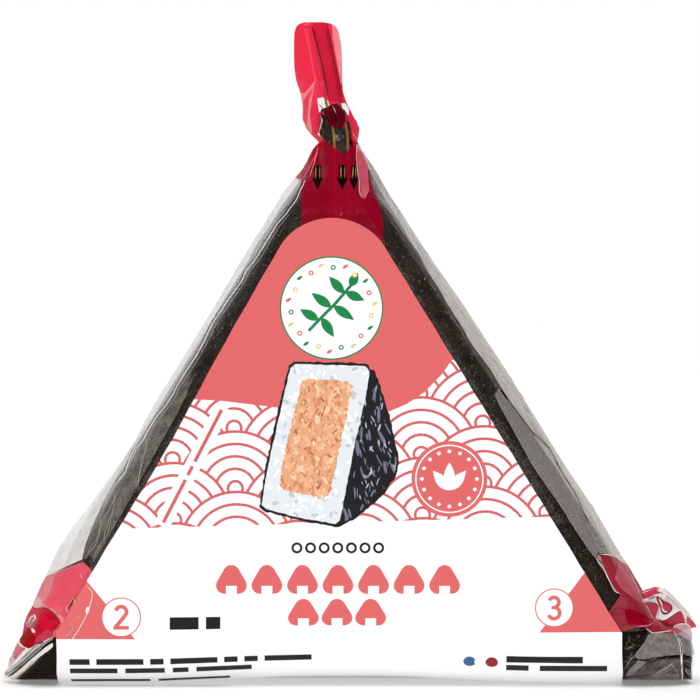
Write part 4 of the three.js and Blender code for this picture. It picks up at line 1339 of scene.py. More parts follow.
fin = {
    "outline": [(46.6, 12.6), (46.9, 14.4), (49.2, 15.3), (50.8, 15), (51.8, 14.2), (54.2, 11.7),
        (54.9, 10.8), (56, 8.8), (54, 8.3), (47.9, 8.3), (46.6, 9.6)],
    # half depth at each distance from the middle
    "depth": [(45, 9), (47.5, 8), (49, 6.6), (51.6, 4.8), (56, 0.5)],
    "rimShare": 0.45,       # share of it that is left at the outline, and how far in the rest builds up
    "rimReach": 1.6,
    "rumple": (0.35, 1.7),      # height and size of its unevenness
    "ridge": (0.3, 0.28),       # height and half width of each fold's ridge or groove
    "deepest": 13,
    # flat fields of the crumpled print: look and outline, painted one over another; the white fields are
    # pale folds with a painted highlight on them
    "fields": [
        ("redFinFilm", [(46, 14.4), (46.9, 14.5), (49.2, 15.4), (50.1, 15.4), (50.3, 15.2), (49.6, 14.8),
            (49.9, 14.4), (50.4, 14.2), (49.4, 14.1), (48.3, 13.5), (47.5, 13.3), (46, 13.2)]),
        ("whiteFold", [(47.3, 13), (47.5, 13.3), (48.3, 13.5), (49.4, 14.1), (50.3, 14.2), (50.9, 13.9),
            (51.4, 13.2), (52.1, 12.7), (52.4, 12), (53.1, 11.8), (51.1, 10.1), (50.4, 9.9), (49.9, 10.3),
            (50.2, 11.3), (49.9, 12.4), (49.5, 12.7), (48.6, 12.9), (47.7, 12.7)]),
        ("silverFold", [(48, 13.3), (49.3, 13.9), (49.3, 13.5), (48.7, 13.2)]),
        ("redFinFilm", [(49.4, 13.6), (49.7, 13.8), (50.5, 13), (51.8, 12.4), (52.1, 12), (51.9, 11.4),
            (51.4, 11), (50.8, 10.8), (50.4, 11), (50, 12.4), (49.6, 13)]),
        ("whiteFold", [(49.9, 13.4), (50.2, 13.1), (50.4, 12.6), (50.5, 11.9), (50.8, 11.4), (51.3, 11.3),
            (51.2, 11.1), (50.7, 11.1), (50.4, 11.5), (50.3, 12.2), (50, 12.9)]),
        ("redFinFilm", [(46, 12.6), (49.5, 12.6), (49.9, 12), (49.8, 11.3), (49.2, 9.9), (46, 9.8)]),
        ("redFinFilm", [(46, 8), (48, 8.5), (49, 9.6), (49.9, 10), (50.4, 9.8), (51.1, 10), (53, 11.3),
            (53.5, 11.3), (53.9, 10.5), (54.2, 9.2), (54.2, 8)]),
        ("redHazyFilm", [(54.5, 10.6), (56.2, 8.8), (56, 8.5), (54.6, 8.5), (54.3, 9.9)]),
        ("paleFilm", [(51, 14), (52.9, 12.5), (53.6, 11.6), (53.4, 11.5), (52.5, 12.4), (50.9, 13.6)]),
        ("whiteFold", [(51.5, 14.3), (52.7, 13.2), (54.1, 11.3), (53.9, 11.3), (51.4, 14.1)])],
    # lines along the folds: look, radius and path; the white ones are sealed edges and painted highlights,
    # the dark ones painted shade beside them
    "lines": [
        ("foldShadow", 0.07, [(49.7, 14.5), (50.4, 14.3), (50.8, 13.9)]),
        ("filmEdge", 0.08, [(49.6, 14.8), (50.2, 14.7), (50.7, 14.5), (51.1, 14.1)]),
        ("foldShadow", 0.08, [(49.4, 13.6), (49.7, 13.8), (50.5, 13), (51.8, 12.4), (52.1, 12), (51.9, 11.4),
            (51.4, 11), (50.8, 10.8), (50.4, 11), (50, 12.4), (49.4, 13.6)]),
        ("foldShadow", 0.06, [(47.7, 12.7), (48.6, 12.8), (49.4, 12.6), (49.9, 12.1), (50, 11.8)]),
        ("filmEdge", 0.06, [(49.9, 11.7), (49.4, 10), (49.1, 9.7)]),
        ("foldShadow", 0.06, [(50, 11.5), (49.9, 10.9), (49.6, 10.2)]),
        ("filmEdge", 0.11, [(49.9, 10.2), (50.4, 9.9), (51.1, 10.1), (53, 11.5), (53.5, 11.6), (54, 10.8),
            (54.4, 9.4)]),
        ("redFinFilm", 0.07, [(50.4, 9.7), (51.1, 9.9), (52.9, 11.2)]),
        ("filmEdge", 0.07, [(46.9, 14.2), (47.6, 14.4), (48.6, 14.8)]),
        ("foldShadow", 0.05, [(54.3, 10.7), (55.2, 9.8), (55.9, 8.8)]),
        ("filmEdge", 0.06, [(51.3, 13.9), (52.4, 12.9), (54.4, 10.7)]),
        ("filmEdge", 0.05, [(51, 13.6), (52, 12.8), (53, 11.9)]),
        ("paleFilm", 0.08, [(50.7, 14.9), (52, 13.8), (54.6, 10.9)]),
        ("foldShadow", 0.05, [(46.9, 14.3), (47.8, 14.8), (48.7, 15)])],
    # the pale flap under it, and its free edge
    "flap": [(51.9, 8.4), (52.7, 9.1), (53.8, 9.3), (54.9, 9), (55.3, 7.6), (55.2, 6.3), (54.1, 6.7),
        (52.8, 7.6)],
    "flapDepth": [(51, 5.5), (53, 3.6), (55.4, 1.2)],
    "flapEdge": [(51.9, 8.4), (52.6, 9.1), (53.6, 9.3), (54.6, 9.2), (55, 8.6)],
}


def seenAt(flat, y):
    # the points at some depth that a level camera sees at these places of the mid plane
    share = (1 + y / view["distance"])[:, None]
    moved = flat * share + (1 - share) * np.array([view["sideways"], view["height"]])
    return np.stack([moved[:, 0], y, moved[:, 1]], -1)


def rimEdges(faces):
    # the edges that only one face has, as that face runs
    found = {}
    for face in faces:
        for a, b in zip(face, [*face[1:], face[0]]):
            if found.pop((b, a), None) is None:
                found[(a, b)] = True
    return list(found)


def finSurface(flat, side):
    # the crumpled fin's two faces, which meet along its outline
    distances, depths = zip(*fin["depth"])
    away = rimOffsets(flat, fin["outline"])
    swell = np.sqrt(np.clip(1 - (1 - np.clip(away / fin["rimReach"], 0, 1))**2, 0, 1))
    half = np.interp(flat[:, 0], distances, depths) * (fin["rimShare"] + (1 - fin["rimShare"]) * swell)
    height, size = fin["rumple"]
    rumple = height * noiseAt(standing(flat, side), size, 70)
    height, width = fin["ridge"]
    for kind, _, path in fin["lines"]:
        ridge = height * np.exp(-(pathOffsets(flat, path) / width)**2)
        rumple += -ridge if kind == "foldShadow" else ridge
    half = np.where(away > 1e-4, half + rumple * np.clip(away / 0.4, 0, 1), half)
    return wrapForm["midY"] + side * np.minimum(half, fin["deepest"])


def buildFin():
    layers = Layers()
    flat, faces = filled(fin["outline"], 0.17, [outline for _, outline in fin["fields"]])
    centres = np.array([flat[list(f)].mean(0) for f in faces])
    # faces outside the fields are white: pale folds with a painted highlight
    kinds = np.full(len(faces), "whiteFold", dtype=object)
    for kind, outline in fin["fields"]:
        kinds[inside(centres, outline)] = kind
    both = np.concatenate([seenAt(flat, finSurface(flat, side)) for side in (-1, 1)])
    count = len(flat)
    for kind in sorted(set(kinds)):
        own = [f for f, k in zip(faces, kinds) if k == kind]
        layers.add(*facesOnly(both, [*own, *([i + count for i in f[::-1]] for f in own)]), kind)
    layers.add(*facesOnly(both, [(b, a, a + count, b + count) for a, b in rimEdges(faces)]), "paleFilm")
    for kind, radius, path in fin["lines"]:
        dense = smoothed(path, 0.2)
        layers.tube(seenAt(dense, finSurface(dense, -1) - radius * 0.4), radius, kind)
    layers.piece("film_right_fin", "red_film")
    flap = Layers()
    flat, faces = filled(fin["flap"], 0.35)
    distances, depths = zip(*fin["flapDepth"])
    bulge = 0.4 * np.sqrt(rimOffsets(flat, fin["flap"]))
    depth = np.interp(flat[:, 0], distances, depths)
    flap.add(seenAt(flat, wrapForm["midY"] - depth - bulge), faces, "paleFilm")
    dense = smoothed(fin["flapEdge"], 0.2)
    depth = np.interp(dense[:, 0], distances, depths) + 0.1
    flap.tube(seenAt(dense, wrapForm["midY"] - depth), 0.09, "filmEdge")
    flap.piece("film_right_flap", "red_film")


buildFin()
print("stage: right ear")

neckFlap = {
    # thin film folded beside the apex, its paler pink partly a painted reflection
    "outline": [(1.1, 85.8), (2, 84.9), (2.8, 82.8), (3, 78.6), (2.5, 77.3), (1.7, 77.7), (1.7, 80.3),
        (1.2, 83.5)],
    "marks": [
        ("filmEdge", 0.05, [(1.1, 86.4), (1.1, 83.5), (1.6, 80.3), (1.5, 78.7), (1.8, 77.6), (2.5, 77.3)]),
        ("creaseLight", 0.05, [(0.35, 88.6), (0.9, 87.7), (2.1, 85)]),
        # painted highlights: pale streaks down the apex's left side
        ("redBandFilm", 0.1, [(-5, 86.2), (-5.3, 84.4), (-6.4, 80.8)]),
        ("redBandFilm", 0.06, [(-5.2, 85.2), (-6.2, 82.8), (-7.2, 80.9)]),
        # painted highlight: a white glint on the shield
        ("filmEdge", 0.09, [(-2.7, 92.7), (-2.4, 92.1), (-2.1, 91.5)]),
        ("foldShadow", 0.08, [(-2.3, 91.6), (-2.2, 90.6), (-2.1, 89.7)]),
        ("foldShadow", 0.08, [(-5, 93.3), (-4, 92), (-3.8, 91), (-3, 90)]),
        ("creaseLight", 0.16, [(-4.7, 91.2), (-4.3, 90.2), (-4.9, 88.4)]),
        ("redShadowFilm", 0.1, [(-6.1, 106.1), (-4.3, 99.1), (-3.4, 94)]),
        ("redShadowFilm", 0.08, [(-3.6, 105.9), (-2.6, 101.5), (-1.1, 93.7)]),
        ("foldShadow", 0.05, [(-2.3, 88.8), (-1.2, 88.9), (-0.75, 89.6)]),
        ("foldShadow", 0.07, [(-5, 86.6), (-5.9, 84.8), (-7, 83.1), (-7.9, 81.2)]),
        ("foldShadow", 0.06, [(-5, 91.9), (-4.5, 91.3), (-4.4, 89.6), (-5.2, 88.4)])],
}


def buildNeckFlap():
    layers = Layers()
    for outline in pullArrows:
        low, high = np.min(outline, 0), np.max(outline, 0)
        # a dark sheet over each arrow window darkens the seaweed seen through it
        layers.sheet(outline, 0.06, "foldShadow", 0.4, 0.02, 0)
        for share, width in ((0.36, 0.13), (0.7, 0.08)):
            x = low[0] + share * (high[0] - low[0])
            line = [(x, high[1] - 0.15), (x, high[1] - 1.5), (x, low[1] + 1.7)]
            layers.edge(line, width, "goldLine", 0.1)
    layers.sheet(neckFlap["outline"], 0.14, "redHazyFilm", 0.35)
    for kind, radius, path in neckFlap["marks"]:
        layers.edge(path, radius, kind)
    layers.piece("film_neck_flap", "film")


buildNeckFlap()


# tear tape, down the middle of the front, under the base and up the back
tape = {
    "middle": [(78, -1.2), (84.7, -1.3), (88, -1.4), (90.3, -1.8), (93.4, -2.7), (97, -3.1), (105.2, -4.8)],
    "halfWidth": 1.3,
    "thread": 0.42,     # width of the gold line along each edge
    "depth": 0.3,       # how far inside the film it lies
    "shiftX": 0.9,
    "straightBelow": 40,
    "heights": (4, 105, 0.6),       # from, to and step of its rows up each side; underneath their count
    "under": (-10, 10, 14),
}


def buildTape():
    gold, tree = newMaterial("goldPrintedTape")
    # metallised ink: a warm satin gleam
    ink = addNode(tree, "ShaderNodeBsdfPrincipled", {
        "Base Color": linear("#B07C42"), "Metallic": 0.55, "Roughness": 0.38})
    finishMaterial(tree, ink)
    heights, middles = zip(*tape["middle"])
    start, foot = tape["straightBelow"], heights[0]

    def level(z):
        return wrapForm["axisX"] - wrapForm["lean"] * z + tape["shiftX"]

    def middleAt(z):
        if z > foot:
            return np.interp(z, heights, middles)
        return level(z) + (middles[0] - level(foot)) * max(z - start, 0) / (foot - start)

    def cast(x, z, side):
        hit, _, _, _ = skinTree.ray_cast(Vector((x, side * 60, z)), Vector((0, -side, 0)))
        return hit.y - side * tape["depth"] if hit else None

    up = np.arange(*tape["heights"])
    half, thread = tape["halfWidth"], tape["thread"]
    offsets = [-half, -half + thread, 0, half - thread, half]
    rows = []
    for side, zs in ((-1, up[::-1]), (1, up)):
        for z in zs:
            middle = middleAt(z)
            ys = [cast(middle + o, z, side) for o in offsets]
            if None not in ys:
                rows.append([(middle + o, y, z) for o, y in zip(offsets, ys)])
        if side < 0:
            for y in np.linspace(*tape["under"]):
                middle = middleAt(1)
                lows = [skinTree.ray_cast(Vector((middle + o, y, -5)), Vector((0, 0, 1)))[0]
                    for o in offsets]
                rows.append([(middle + o, y, low.z + tape["depth"]) for o, low in zip(offsets, lows)])
    faces = gridFaces(len(rows), len(offsets))
    kinds = [0 if i % 4 in (0, 3) else 1 for i in range(len(faces))]
    made = makePiece("tear_tape", np.array(rows).reshape(-1, 3), faces, [gold, film["clearFilm"]], kinds)
    placed(made, "film_pack")


buildTape()
print("stage: tear tape")


# printed label
labelInks = {
    # ink colours of the print; the first is the bare paper
    "paper": "#FAFAF9",
    "coral": "#DB6566",
    "line": "#CF5F63",
    "green": "#178248",
    "black": "#1B1A1D",
    "yellow": "#E9C66C",
    "blue": "#3A6293",
    "wine": "#94202D",
    "rice": "#DFE4E8",
    "riceLight": "#F6F9FB",
    "riceShade": "#BFC6CC",
    "filling": "#E3A47C",
    "fillingMid": "#ECB38C",
    "fillingDark": "#D08A5E",
    "fillingDeep": "#A65F38",
    "fillingLight": "#F9CBA8",
    "nori": "#1B1A1E",
    "noriSheen": "#6F7186",
    "noriGlint": "#B4B8C8",
}


def inkMaterial(name, colour):
    # offset ink on satin coated paper: matte with a faint gloss
    material, tree = newMaterial("label_" + name)
    ink = addNode(tree, "ShaderNodeBsdfPrincipled", {
        "Base Color": linear(colour), "Roughness": 0.55, "IOR": 1.3})
    finishMaterial(tree, ink)
    return material


def stroke(path, width):
    # a line drawn with an even width, as one outline
    path = np.array(path, float)
    tangents = np.gradient(path, axis=0)
    tangents /= np.linalg.norm(tangents, axis=1, keepdims=True)
    out = np.stack([-tangents[:, 1], tangents[:, 0]], -1) * width / 2
    return [*(path + out), *(path - out)[::-1]]


def arc(centre, radius, start, end, count):
    turns = np.radians(np.linspace(start, end, count))
    return [(centre[0] + radius * math.cos(t), centre[1] + radius * math.sin(t)) for t in turns]


def bar(left, low, right, high):
    return [(left, low), (right, low), (right, high), (left, high)]


def roundedTriangle(x, z, width, height):
    # a little rice ball icon that stands on z
    points = []
    r = width * 0.27
    right, left = x + width / 2 - r, x - width / 2 + r
    for centre, start in (((right, z + r), -90), ((x, z + height - r), 30), ((left, z + r), 150)):
        points += arc(centre, r, start, start + 120, 6)
    return points


def spread(outline, spacing, grown=0):
    # a closed outline with even points, moved out from its middle by a little
    outline = np.array(outline, float)
    middle = outline.mean(0)
    points = []
    for point in alongRim(outline, spacing):
        points.append(tuple(point + grown * (point - middle) / np.hypot(*(point - middle))))
    return points


def leaf(root, tip, width):
    root, tip = np.array(root, float), np.array(tip, float)
    along = tip - root
    aside = np.array([-along[1], along[0]]) / np.hypot(*along)
    shares = np.linspace(0, 1, 9)
    bow = width / 2 * np.sin(math.pi * shares**0.85)
    left, right = ([root + along * s + side * aside * b for s, b in zip(shares, bow)] for side in (1, -1))
    return [*left, *right[-2:0:-1]]


waves = {
    "centre": (-17.83, 22.04),
    "spacing": 19.64,
    "rowStep": 4.77,
    "tilt": math.radians(1.2),
    "radii": [9, 7.04, 5.09, 3.13, 1.17],
    "lineWidth": 0.44,
    "rows": (-2, 8),
    "columns": (-4, 6),
    "overlap": 19,      # fans farther apart than this don't meet
    "top": 53,
}


def waveCentres():
    # every fan of the wave pattern as row number and centre, the front row first
    tilt = waves["tilt"]
    fans = []
    for row in range(*waves["rows"]):
        for k in range(*waves["columns"]):
            x = waves["spacing"] * (k + 0.5 * (row % 2))
            z = waves["rowStep"] * row
            fans.append((row, waves["centre"][0] + x * math.cos(tilt) - z * math.sin(tilt),
                waves["centre"][1] + x * math.sin(tilt) + z * math.cos(tilt)))
    return fans


def onWaveLine(flat):
    # which points lie on a printed line, where lower fans cover the ones behind
    line, taken = np.zeros(len(flat), bool), np.zeros(len(flat), bool)
    half = waves["lineWidth"] / 2
    for _, x, z in waveCentres():
        radius = np.hypot(flat[:, 0] - x, flat[:, 1] - z)
        here = (radius < waves["radii"][0] + half) & ~taken
        for ring in waves["radii"]:
            line |= here & (np.abs(radius - ring) < half)
        taken |= here
    return line


labelPrint = {
    "curve": [(-24.35, 45.65), (-20.58, 45.45), (-13.79, 44.64), (-3.16, 43.35), (5.48, 43.4), (9.03, 44.91),
        (11.9, 46.82), (14.77, 49.82), (16.15, 51.87)],
    "cut": [(-37.09, 25.20), (33.14, 27.17)],
    "triangles": [[(-41.5, 17), (-33.84, 7.74), (-47.4, 7.8)], [(37.1, 18.25), (29.99, 8.8), (46, 8.94)]],
    "topDisc": ((-2.84, 60.08), 8.2),
    # the sprig's stem and leaves about the disc's middle, each leaf from its root to its tip
    "stem": [(-3.6, -3.6), (-1.6, -1.5), (0.6, 0.7), (3.1, 3.6)],
    "leaves": [(-2, -1.9, -5, -0.2), (-1.6, -1.5, 0.4, -4.6), (0, 0.1, -3.2, 2.4), (0.3, 0.4, 3.6, -1.9),
        (2, 2.3, -0.4, 5), (2.2, 2.5, 5.2, 1.2), (2.9, 3.4, 4.2, 5.6)],
    "badge": ((15.78, 33.09), 6),
    "badgeLeaves": [(0, -1.8, -2.6, 1.3), (0, -1.8, 2.6, 1.3), (0, -1.2, 0, 2.6)],
    # the cut rice ball: its rice, the seaweed's side and the filling
    "face": [(-9.35, 50.6), (-8.6, 51.2), (-3, 51.1), (2.5, 50.9), (3.15, 50), (2.6, 46.4), (0.6, 37.5),
        (-1.5, 26.6), (-2.2, 26), (-7.6, 26.9), (-13.2, 28.3), (-13.9, 29), (-12.9, 35)],
    "side": [(2.9, 50.3), (3.6, 49.9), (4.3, 48.4), (5.9, 43), (7.4, 36.3), (7.1, 34), (5.2, 31),
        (0.9, 27.3), (-1.74, 25.8), (-2.4, 25.9), (0.2, 35)],
    "core": [(-7.5, 48.4), (-6.6, 49), (-0.4, 48.5), (0.5, 47.6), (-1.2, 39.5), (-3.1, 30.8), (-4, 30),
        (-10.5, 31.3), (-11.2, 32), (-9.6, 40)],
    "caption": [(-29.4, 26.2), (-20.2, 44)],
    "stepDiscs": [((-36.06, 11.23), 3.16, "2"), ((32.35, 12.73), 3.08, "3")],
    # left, low, right and high end of each line on the roll, and its words' lengths
    "rollWords": [
        (-44.3, 3.6, -6, 4.7, (3, 7, 2, 7, 2, 2, 7)), (-44.3, 1.5, -15.5, 2.8, (6, 5, 2, 7)),
        (-44.3, -2.3, -19, -0.8, (10, 9)), (24.8, 3.9, 36.9, 5.1, (7,)), (24.8, 2.1, 40.8, 3.4, (2, 6))],
}


def digitShapes(digit, centre):
    x, z = centre
    if digit == "2":
        path = arc((x, z + 0.85), 0.85, 168, -32, 14) + [(x - 0.35, z - 0.92), (x - 1, z - 1.62)]
        return [stroke(path, 0.62), bar(x - 1.22, z - 1.95, x + 1.22, z - 1.35)]
    upper = arc((x - 0.05, z + 0.88), 0.78, 160, -75, 14)
    lower = arc((x - 0.05, z - 0.82), 0.9, 80, -160, 16)
    return [stroke(upper, 0.6), stroke(lower, 0.6), bar(x - 0.45, z - 0.22, x + 0.15, z + 0.3)]


class LabelArt:
    # the print as outlines with inks, painted one over another; a parent limits a shape to its inside
    def __init__(self):
        self.dice, self.shapes = random.Random(11), []

    def add(self, outline, ink, parent=None):
        self.shapes.append((outline, ink, parent))

    def discs(self, centre, radii, count, inks):
        for radius, ink in zip(radii, inks):
            self.add(disc(centre, radius, count), ink)

    def leaves(self, x, z, ends, width, ink):
        for a, b, c, d in ends:
            self.add(leaf((x + a, z + b), (x + c, z + d), width), ink)

    def words(self, left, low, right, high, lengths, ink="black"):
        # plain bars that fill a line's place
        pitch = (right - left) / (sum(lengths) + len(lengths) - 1)
        for length in lengths:
            self.add(bar(left, low, left + pitch * length, high), ink)
            left += pitch * (length + 1)

    def rough(self, outline, reach):
        shake = self.dice.uniform
        return [(x + shake(-reach, reach), z + shake(-reach, reach)) for x, z in outline]

    def scatter(self, count, across, up, sizes, squashes, turns, inks, parent, corners=7):
        draw = self.dice.uniform
        for _ in range(count):
            spot = (draw(*across), draw(*up))
            shape = disc(spot, draw(*sizes), corners, draw(*squashes), draw(*turns))
            self.add(shape, self.dice.choice(inks), parent)


def drawTopDisc(art):
    # a white disc with a sprig inside a ring of small drops and dots
    (x, z), radius = labelPrint["topDisc"]
    art.discs((x, z), (radius, radius - 0.25), 72, ("green", "paper"))
    art.add(stroke([(x + a, z + b) for a, b in labelPrint["stem"]], 0.5), "green")
    art.leaves(x, z, labelPrint["leaves"], 1.5, "green")
    for number in range(22):
        turn = number * 2 * math.pi / 22 + 0.1
        reach = 6.9 - 0.5 * (number % 2)
        ink = ("yellow", "coral", "green")[number % 3]
        x1, z1 = x + reach * math.cos(turn), z + reach * math.sin(turn)
        if number % 2:
            art.add(disc((x1, z1), 0.42, 12), ink)
            art.add(disc((x1, z1), 0.2, 10), "paper")
        else:
            art.leaves(x1, z1, [(-0.5, -0.3, 0.5, 0.35)], 0.5, ink)


def drawRiceBall(art):
    # cut open: white rice round a flaked filling, and the seaweed's side
    face, side, core = labelPrint["face"], labelPrint["side"], labelPrint["core"]
    art.add(art.rough(spread([*face[:5], *side[1:9], *face[9:]], 0.5, 0.45), 0.1), "nori")
    face = art.rough(spread(face, 0.5), 0.06)
    core = art.rough(spread(core, 0.4), 0.17)
    side = art.rough(spread(side, 0.5), 0.1)
    art.add(side, "nori")
    art.scatter(150, (-1.5, 7.5), (26, 50), (0.5, 1.4), (0.1, 0.24), (1.3, 2.1),
        ["noriSheen", "nori", "nori"], side)
    art.scatter(70, (1.5, 7.5), (28, 48), (0.25, 0.7), (0.12, 0.3), (0.9, 2.3),
        ["noriGlint", "noriSheen"], side)
    art.add(face, "rice")
    art.scatter(430, (-14, 3.4), (25.8, 51.2), (0.42, 0.62), (0.4, 0.55), (0, math.pi),
        ["riceLight", "riceLight", "riceLight", "rice", "rice", "riceShade"], face, 8)
    art.add(core, "filling")
    art.scatter(420, (-11.3, 0.6), (29.8, 49), (0.3, 0.8), (0.3, 0.6), (0.9, 2.4),
        ["fillingLight", "fillingMid", "fillingMid", "filling", "fillingDark"], core)
    art.scatter(190, (-11.1, 0.4), (30, 48.8), (0.2, 0.55), (0.14, 0.3), (0.6, 2.6),
        ["fillingDark", "fillingDeep"], core)
    art.scatter(120, (-11.1, 0.4), (30, 48.8), (0.15, 0.4), (0.3, 0.6), (0.6, 2.6), ["fillingLight"], core)


def drawBadges(art):
    # three leaves in a ring of dots, and the step discs with plain numbers
    (x, z), radius = labelPrint["badge"]
    art.discs((x, z), (radius, radius - 0.6, radius - 0.8), 60, ("coral", "paper", "coral"))
    art.leaves(x, z, labelPrint["badgeLeaves"], 1.7, "paper")
    for number in range(16):
        turn = number * 2 * math.pi / 16
        art.add(disc((x + 4.35 * math.cos(turn), z + 4.35 * math.sin(turn)), 0.3, 10), "paper")
    for centre, radius, digit in labelPrint["stepDiscs"]:
        art.discs(centre, (radius, radius - 0.2), 48, ("coral", "paper"))
        for shape in digitShapes(digit, centre):
            art.add(shape, "coral")


def drawWording(art):
    # rows of rice ball icons and rings where a product's wording would be
    for low, height, left, right, count in ((14.94, 4.58, -21.46, 17.83, 7), (9.57, 4.6, -9.94, 6, 3)):
        pitch = (right - left) / count
        for i in range(count):
            centre = left + pitch * (i + 0.5)
            art.add(roundedTriangle(centre, low, 4.9, height), "coral")
            art.add(bar(centre - 0.85, low - 0.05, centre + 0.85, low + 1.25), "paper")
    for i in range(7):
        centre = (-8.3 + i * 2.15, 22.2)
        art.add(disc(centre, 0.88, 24), "black")
        art.add(disc(centre, 0.5, 20), "paper")
    art.words(-28.4, 9.2, -20.4, 11.2, (4, 2))


def drawCaption(art):
    # a slanted line of bars on a bare band
    start, end = np.array(labelPrint["caption"])
    reach = np.hypot(*(end - start))
    along = (end - start) / reach
    aside = np.array([along[1], -along[0]])
    for a, b, half, ink in ((-0.6, reach + 0.6, 1.25, "paper"), (reach * 0, reach * 0.38, 0.28, "line"),
        (reach * 0.42, reach * 0.5, 0.28, "line"), (reach * 0.54, reach * 1, 0.28, "line")):
        corners = ((a, -half), (b, -half), (b, half), (a, half))
        art.add([tuple(start + along * u + aside * v) for u, v in corners], ink)


def drawRoll(art):
    # bars and dots on the roll, in the label's own flat measure
    for row in labelPrint["rollWords"]:
        art.words(*row)
    for number, ink in enumerate(("blue", "paper", "wine")):
        art.add(disc((19 + number * 1.75, 3.8), 1, 20), ink)


def labelShapes():
    art = LabelArt()
    art.add([*labelPrint["curve"], (40, 51.87), (40, 100), (-40, 100), (-40, 45.65)], "coral")
    for triangle in labelPrint["triangles"]:
        art.add(triangle, "coral")
    for draw in (drawTopDisc, drawRiceBall, drawBadges, drawWording, drawCaption, drawRoll):
        draw(art)
    return art.shapes


def labelRun():
    # the label's flat measure turned to depth and height, with the outward direction
    form = wrapForm
    depth = form["halfDepth"] * (1 - form["baseBevelStart"])
    bend = form["floor"] + form["baseBevel"]
    turns = np.linspace(0, math.pi / 2, 200)
    y = -form["halfDepth"] * form["baseBevelStart"] - depth * np.cos(turns)
    z = bend - form["baseBevel"] * np.sin(turns)
    length = np.r_[0, np.cumsum(np.hypot(np.diff(y), np.diff(z)))]

    def at(v):
        s = bend - v
        turn = np.interp(s, length, turns)
        past = np.maximum(s - length[-1], 0)
        ny, nz = np.cos(turn) / depth, np.sin(turn) / form["baseBevel"]
        size = np.hypot(ny, nz)
        return (np.interp(s, length, y) + past, np.where(s > 0, np.interp(s, length, z), v), -ny / size,
            -nz / size, np.clip(s / length[-1], 0, 1))
    end = bend - length[-1] - labelForm["underReach"] - form["halfDepth"] * form["baseBevelStart"]
    return at, bend, end


runAt, bendHeight, runEnd = labelRun()


def labelMiddle(v):
    return labelForm["shiftX"] + wrapForm["axisX"] - wrapForm["lean"] * runAt(v)[1]


def labelSheet(flat, offset):
    # flat label points laid on the pack; offset is the height over the film
    x, v = flat[:, 0], flat[:, 1]
    y, z, ny, nz, _ = runAt(v)
    local = x - wrapForm["axisX"] + wrapForm["lean"] * z
    return settle(local, y + ny * offset, z + nz * offset, wrapForm)


def labelOutline():
    radius, angle, shoulder = labelForm["capRadius"], labelForm["halfAngle"], labelForm["shoulder"]
    step, bendStep = labelForm["steps"]
    capTop = labelForm["peak"] - radius * (1 / math.sin(angle) - 1)
    cap = capTop - radius * (1 - np.sin(np.linspace(math.pi / 2, angle, 22)))
    heights = np.array([
        *cap, *np.arange(cap[-1] - step, shoulder + 1, -step), shoulder,
        *np.arange(bendHeight, runEnd, -bendStep), runEnd])
    half = labelHalfWidth(heights) + labelForm["flare"] * runAt(heights)[4]
    middle = labelMiddle(heights)
    reach, pace = labelForm["waver"]
    waver = reach * np.sin(heights * pace)
    depth, height, span = labelForm["pinch"]
    pinch = depth * np.exp(-((heights - height) / span)**2)
    return [*zip(middle - half - waver + pinch, heights), *zip((middle + half + waver)[::-1], heights[::-1])]


def atCut(x):
    # height of the slanted line that ends the wave pattern
    (leftX, leftZ), (rightX, rightZ) = labelPrint["cut"]
    return leftZ + (x - leftX) * (rightZ - leftZ) / (rightX - leftX)


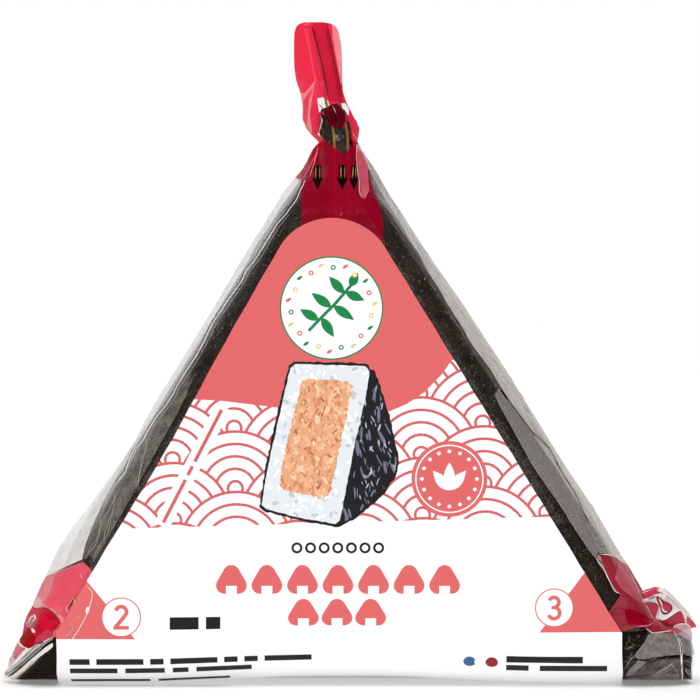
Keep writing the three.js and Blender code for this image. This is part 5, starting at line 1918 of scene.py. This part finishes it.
def labelNet(outline, shapes):
    # the label as flat triangles, with edges along all that is printed
    points, edges = [], []

    def addPath(path, closed=True, shown=None):
        first, count = len(points), len(path)
        points.extend((float(x), float(z)) for x, z in path)
        edges.extend((first + i, first + (i + 1) % count) for i in range(count if closed else count - 1)
            if shown is None or shown[i] or shown[(i + 1) % count])

    addPath(outline)
    for shape, _, _ in shapes:
        addPath(shape)
    addPath(labelPrint["cut"], False)
    # both sides of the wave lines, drawn where no lower fan covers them
    fans, half = waveCentres(), waves["lineWidth"] / 2
    outer = waves["radii"][0] + half
    for row, x, z in fans:
        lower = [(a, b) for other, a, b in fans
            if other < row and math.hypot(a - x, b - z) < waves["overlap"]]
        for ring in waves["radii"]:
            for radius in (ring - half, ring + half):
                circle = np.array(disc((x, z), radius, max(int(radius * 7), 14)))
                across, up = circle.T
                shown = (up > atCut(across) - 0.6) & (up < waves["top"])
                shown &= np.abs(across + 2) < labelHalfWidth(up) + 1.5
                for a, b in lower:
                    shown &= np.hypot(across - a, up - b) > outer - 0.01
                addPath(circle, True, shown)
    # rows that let the sheet bend round the base, and a loose grid over the front
    for v in np.arange(bendHeight, runEnd, -labelForm["steps"][1]):
        reach, middle = float(labelHalfWidth(v)) + 0.5, float(labelMiddle(v))
        columns = np.linspace(middle - reach, middle + reach, labelForm["bendColumns"])
        addPath([(x, v) for x in columns], False)
    step = labelForm["grid"]
    for x in np.arange(*labelForm["gridAcross"], step):
        up = np.arange(*labelForm["gridUp"], step)
        points.extend((x + 0.3 * (k % 2), z) for k, z in enumerate(up))

    flat, _, faces, *_ = delaunay_2d_cdt([Vector(p) for p in points], edges, [], 0, 1e-4)
    flat = np.array([tuple(p) for p in flat])
    faces = np.array([f for f in faces if len(f) == 3])
    return flat, faces[inside(flat[faces].mean(1), outline)]


def inkAt(centres, shapes):
    # the number of the ink at each place
    names = list(labelInks)
    inks = np.zeros(len(centres), int)
    inks[onWaveLine(centres) & (centres[:, 1] > atCut(centres[:, 0]))] = names.index("line")
    within = {}
    for shape, ink, parent in shapes:
        hit = inside(centres, shape)
        if parent is not None:
            if id(parent) not in within:
                within[id(parent)] = inside(centres, parent)
            hit &= within[id(parent)]
        inks[hit] = names.index(ink)
    return inks


def buildLabel():
    outline, shapes = np.array(labelOutline()), labelShapes()
    flat, faces = labelNet(outline, shapes)
    inks = inkAt(flat[faces].mean(1), shapes)
    used, faces = np.unique(faces, return_inverse=True)
    flat, faces = flat[used], faces.reshape(-1, 3)
    corners = flat[faces]
    turned = np.cross(corners[:, 1] - corners[:, 0], corners[:, 2] - corners[:, 0]) < 0
    faces[turned] = faces[turned][:, ::-1]
    points = np.concatenate([labelSheet(flat, labelForm[face]) for face in ("outside", "inside")])
    count = len(flat)
    rim = [(b, a, a + count, b + count) for a, b in rimEdges(faces.tolist())]
    allFaces = [*map(tuple, faces), *map(tuple, faces[:, ::-1] + count), *rim]
    kinds = [*inks, *([0] * (len(faces) + len(rim)))]
    materials = [inkMaterial(name, colour) for name, colour in labelInks.items()]
    made = makePiece("label_sheet", points, allFaces, materials, kinds)
    made.data.set_sharp_from_angle(angle=math.radians(50))
    placed(made, "label")
    return len(allFaces)


print("stage: label,", buildLabel(), "faces")
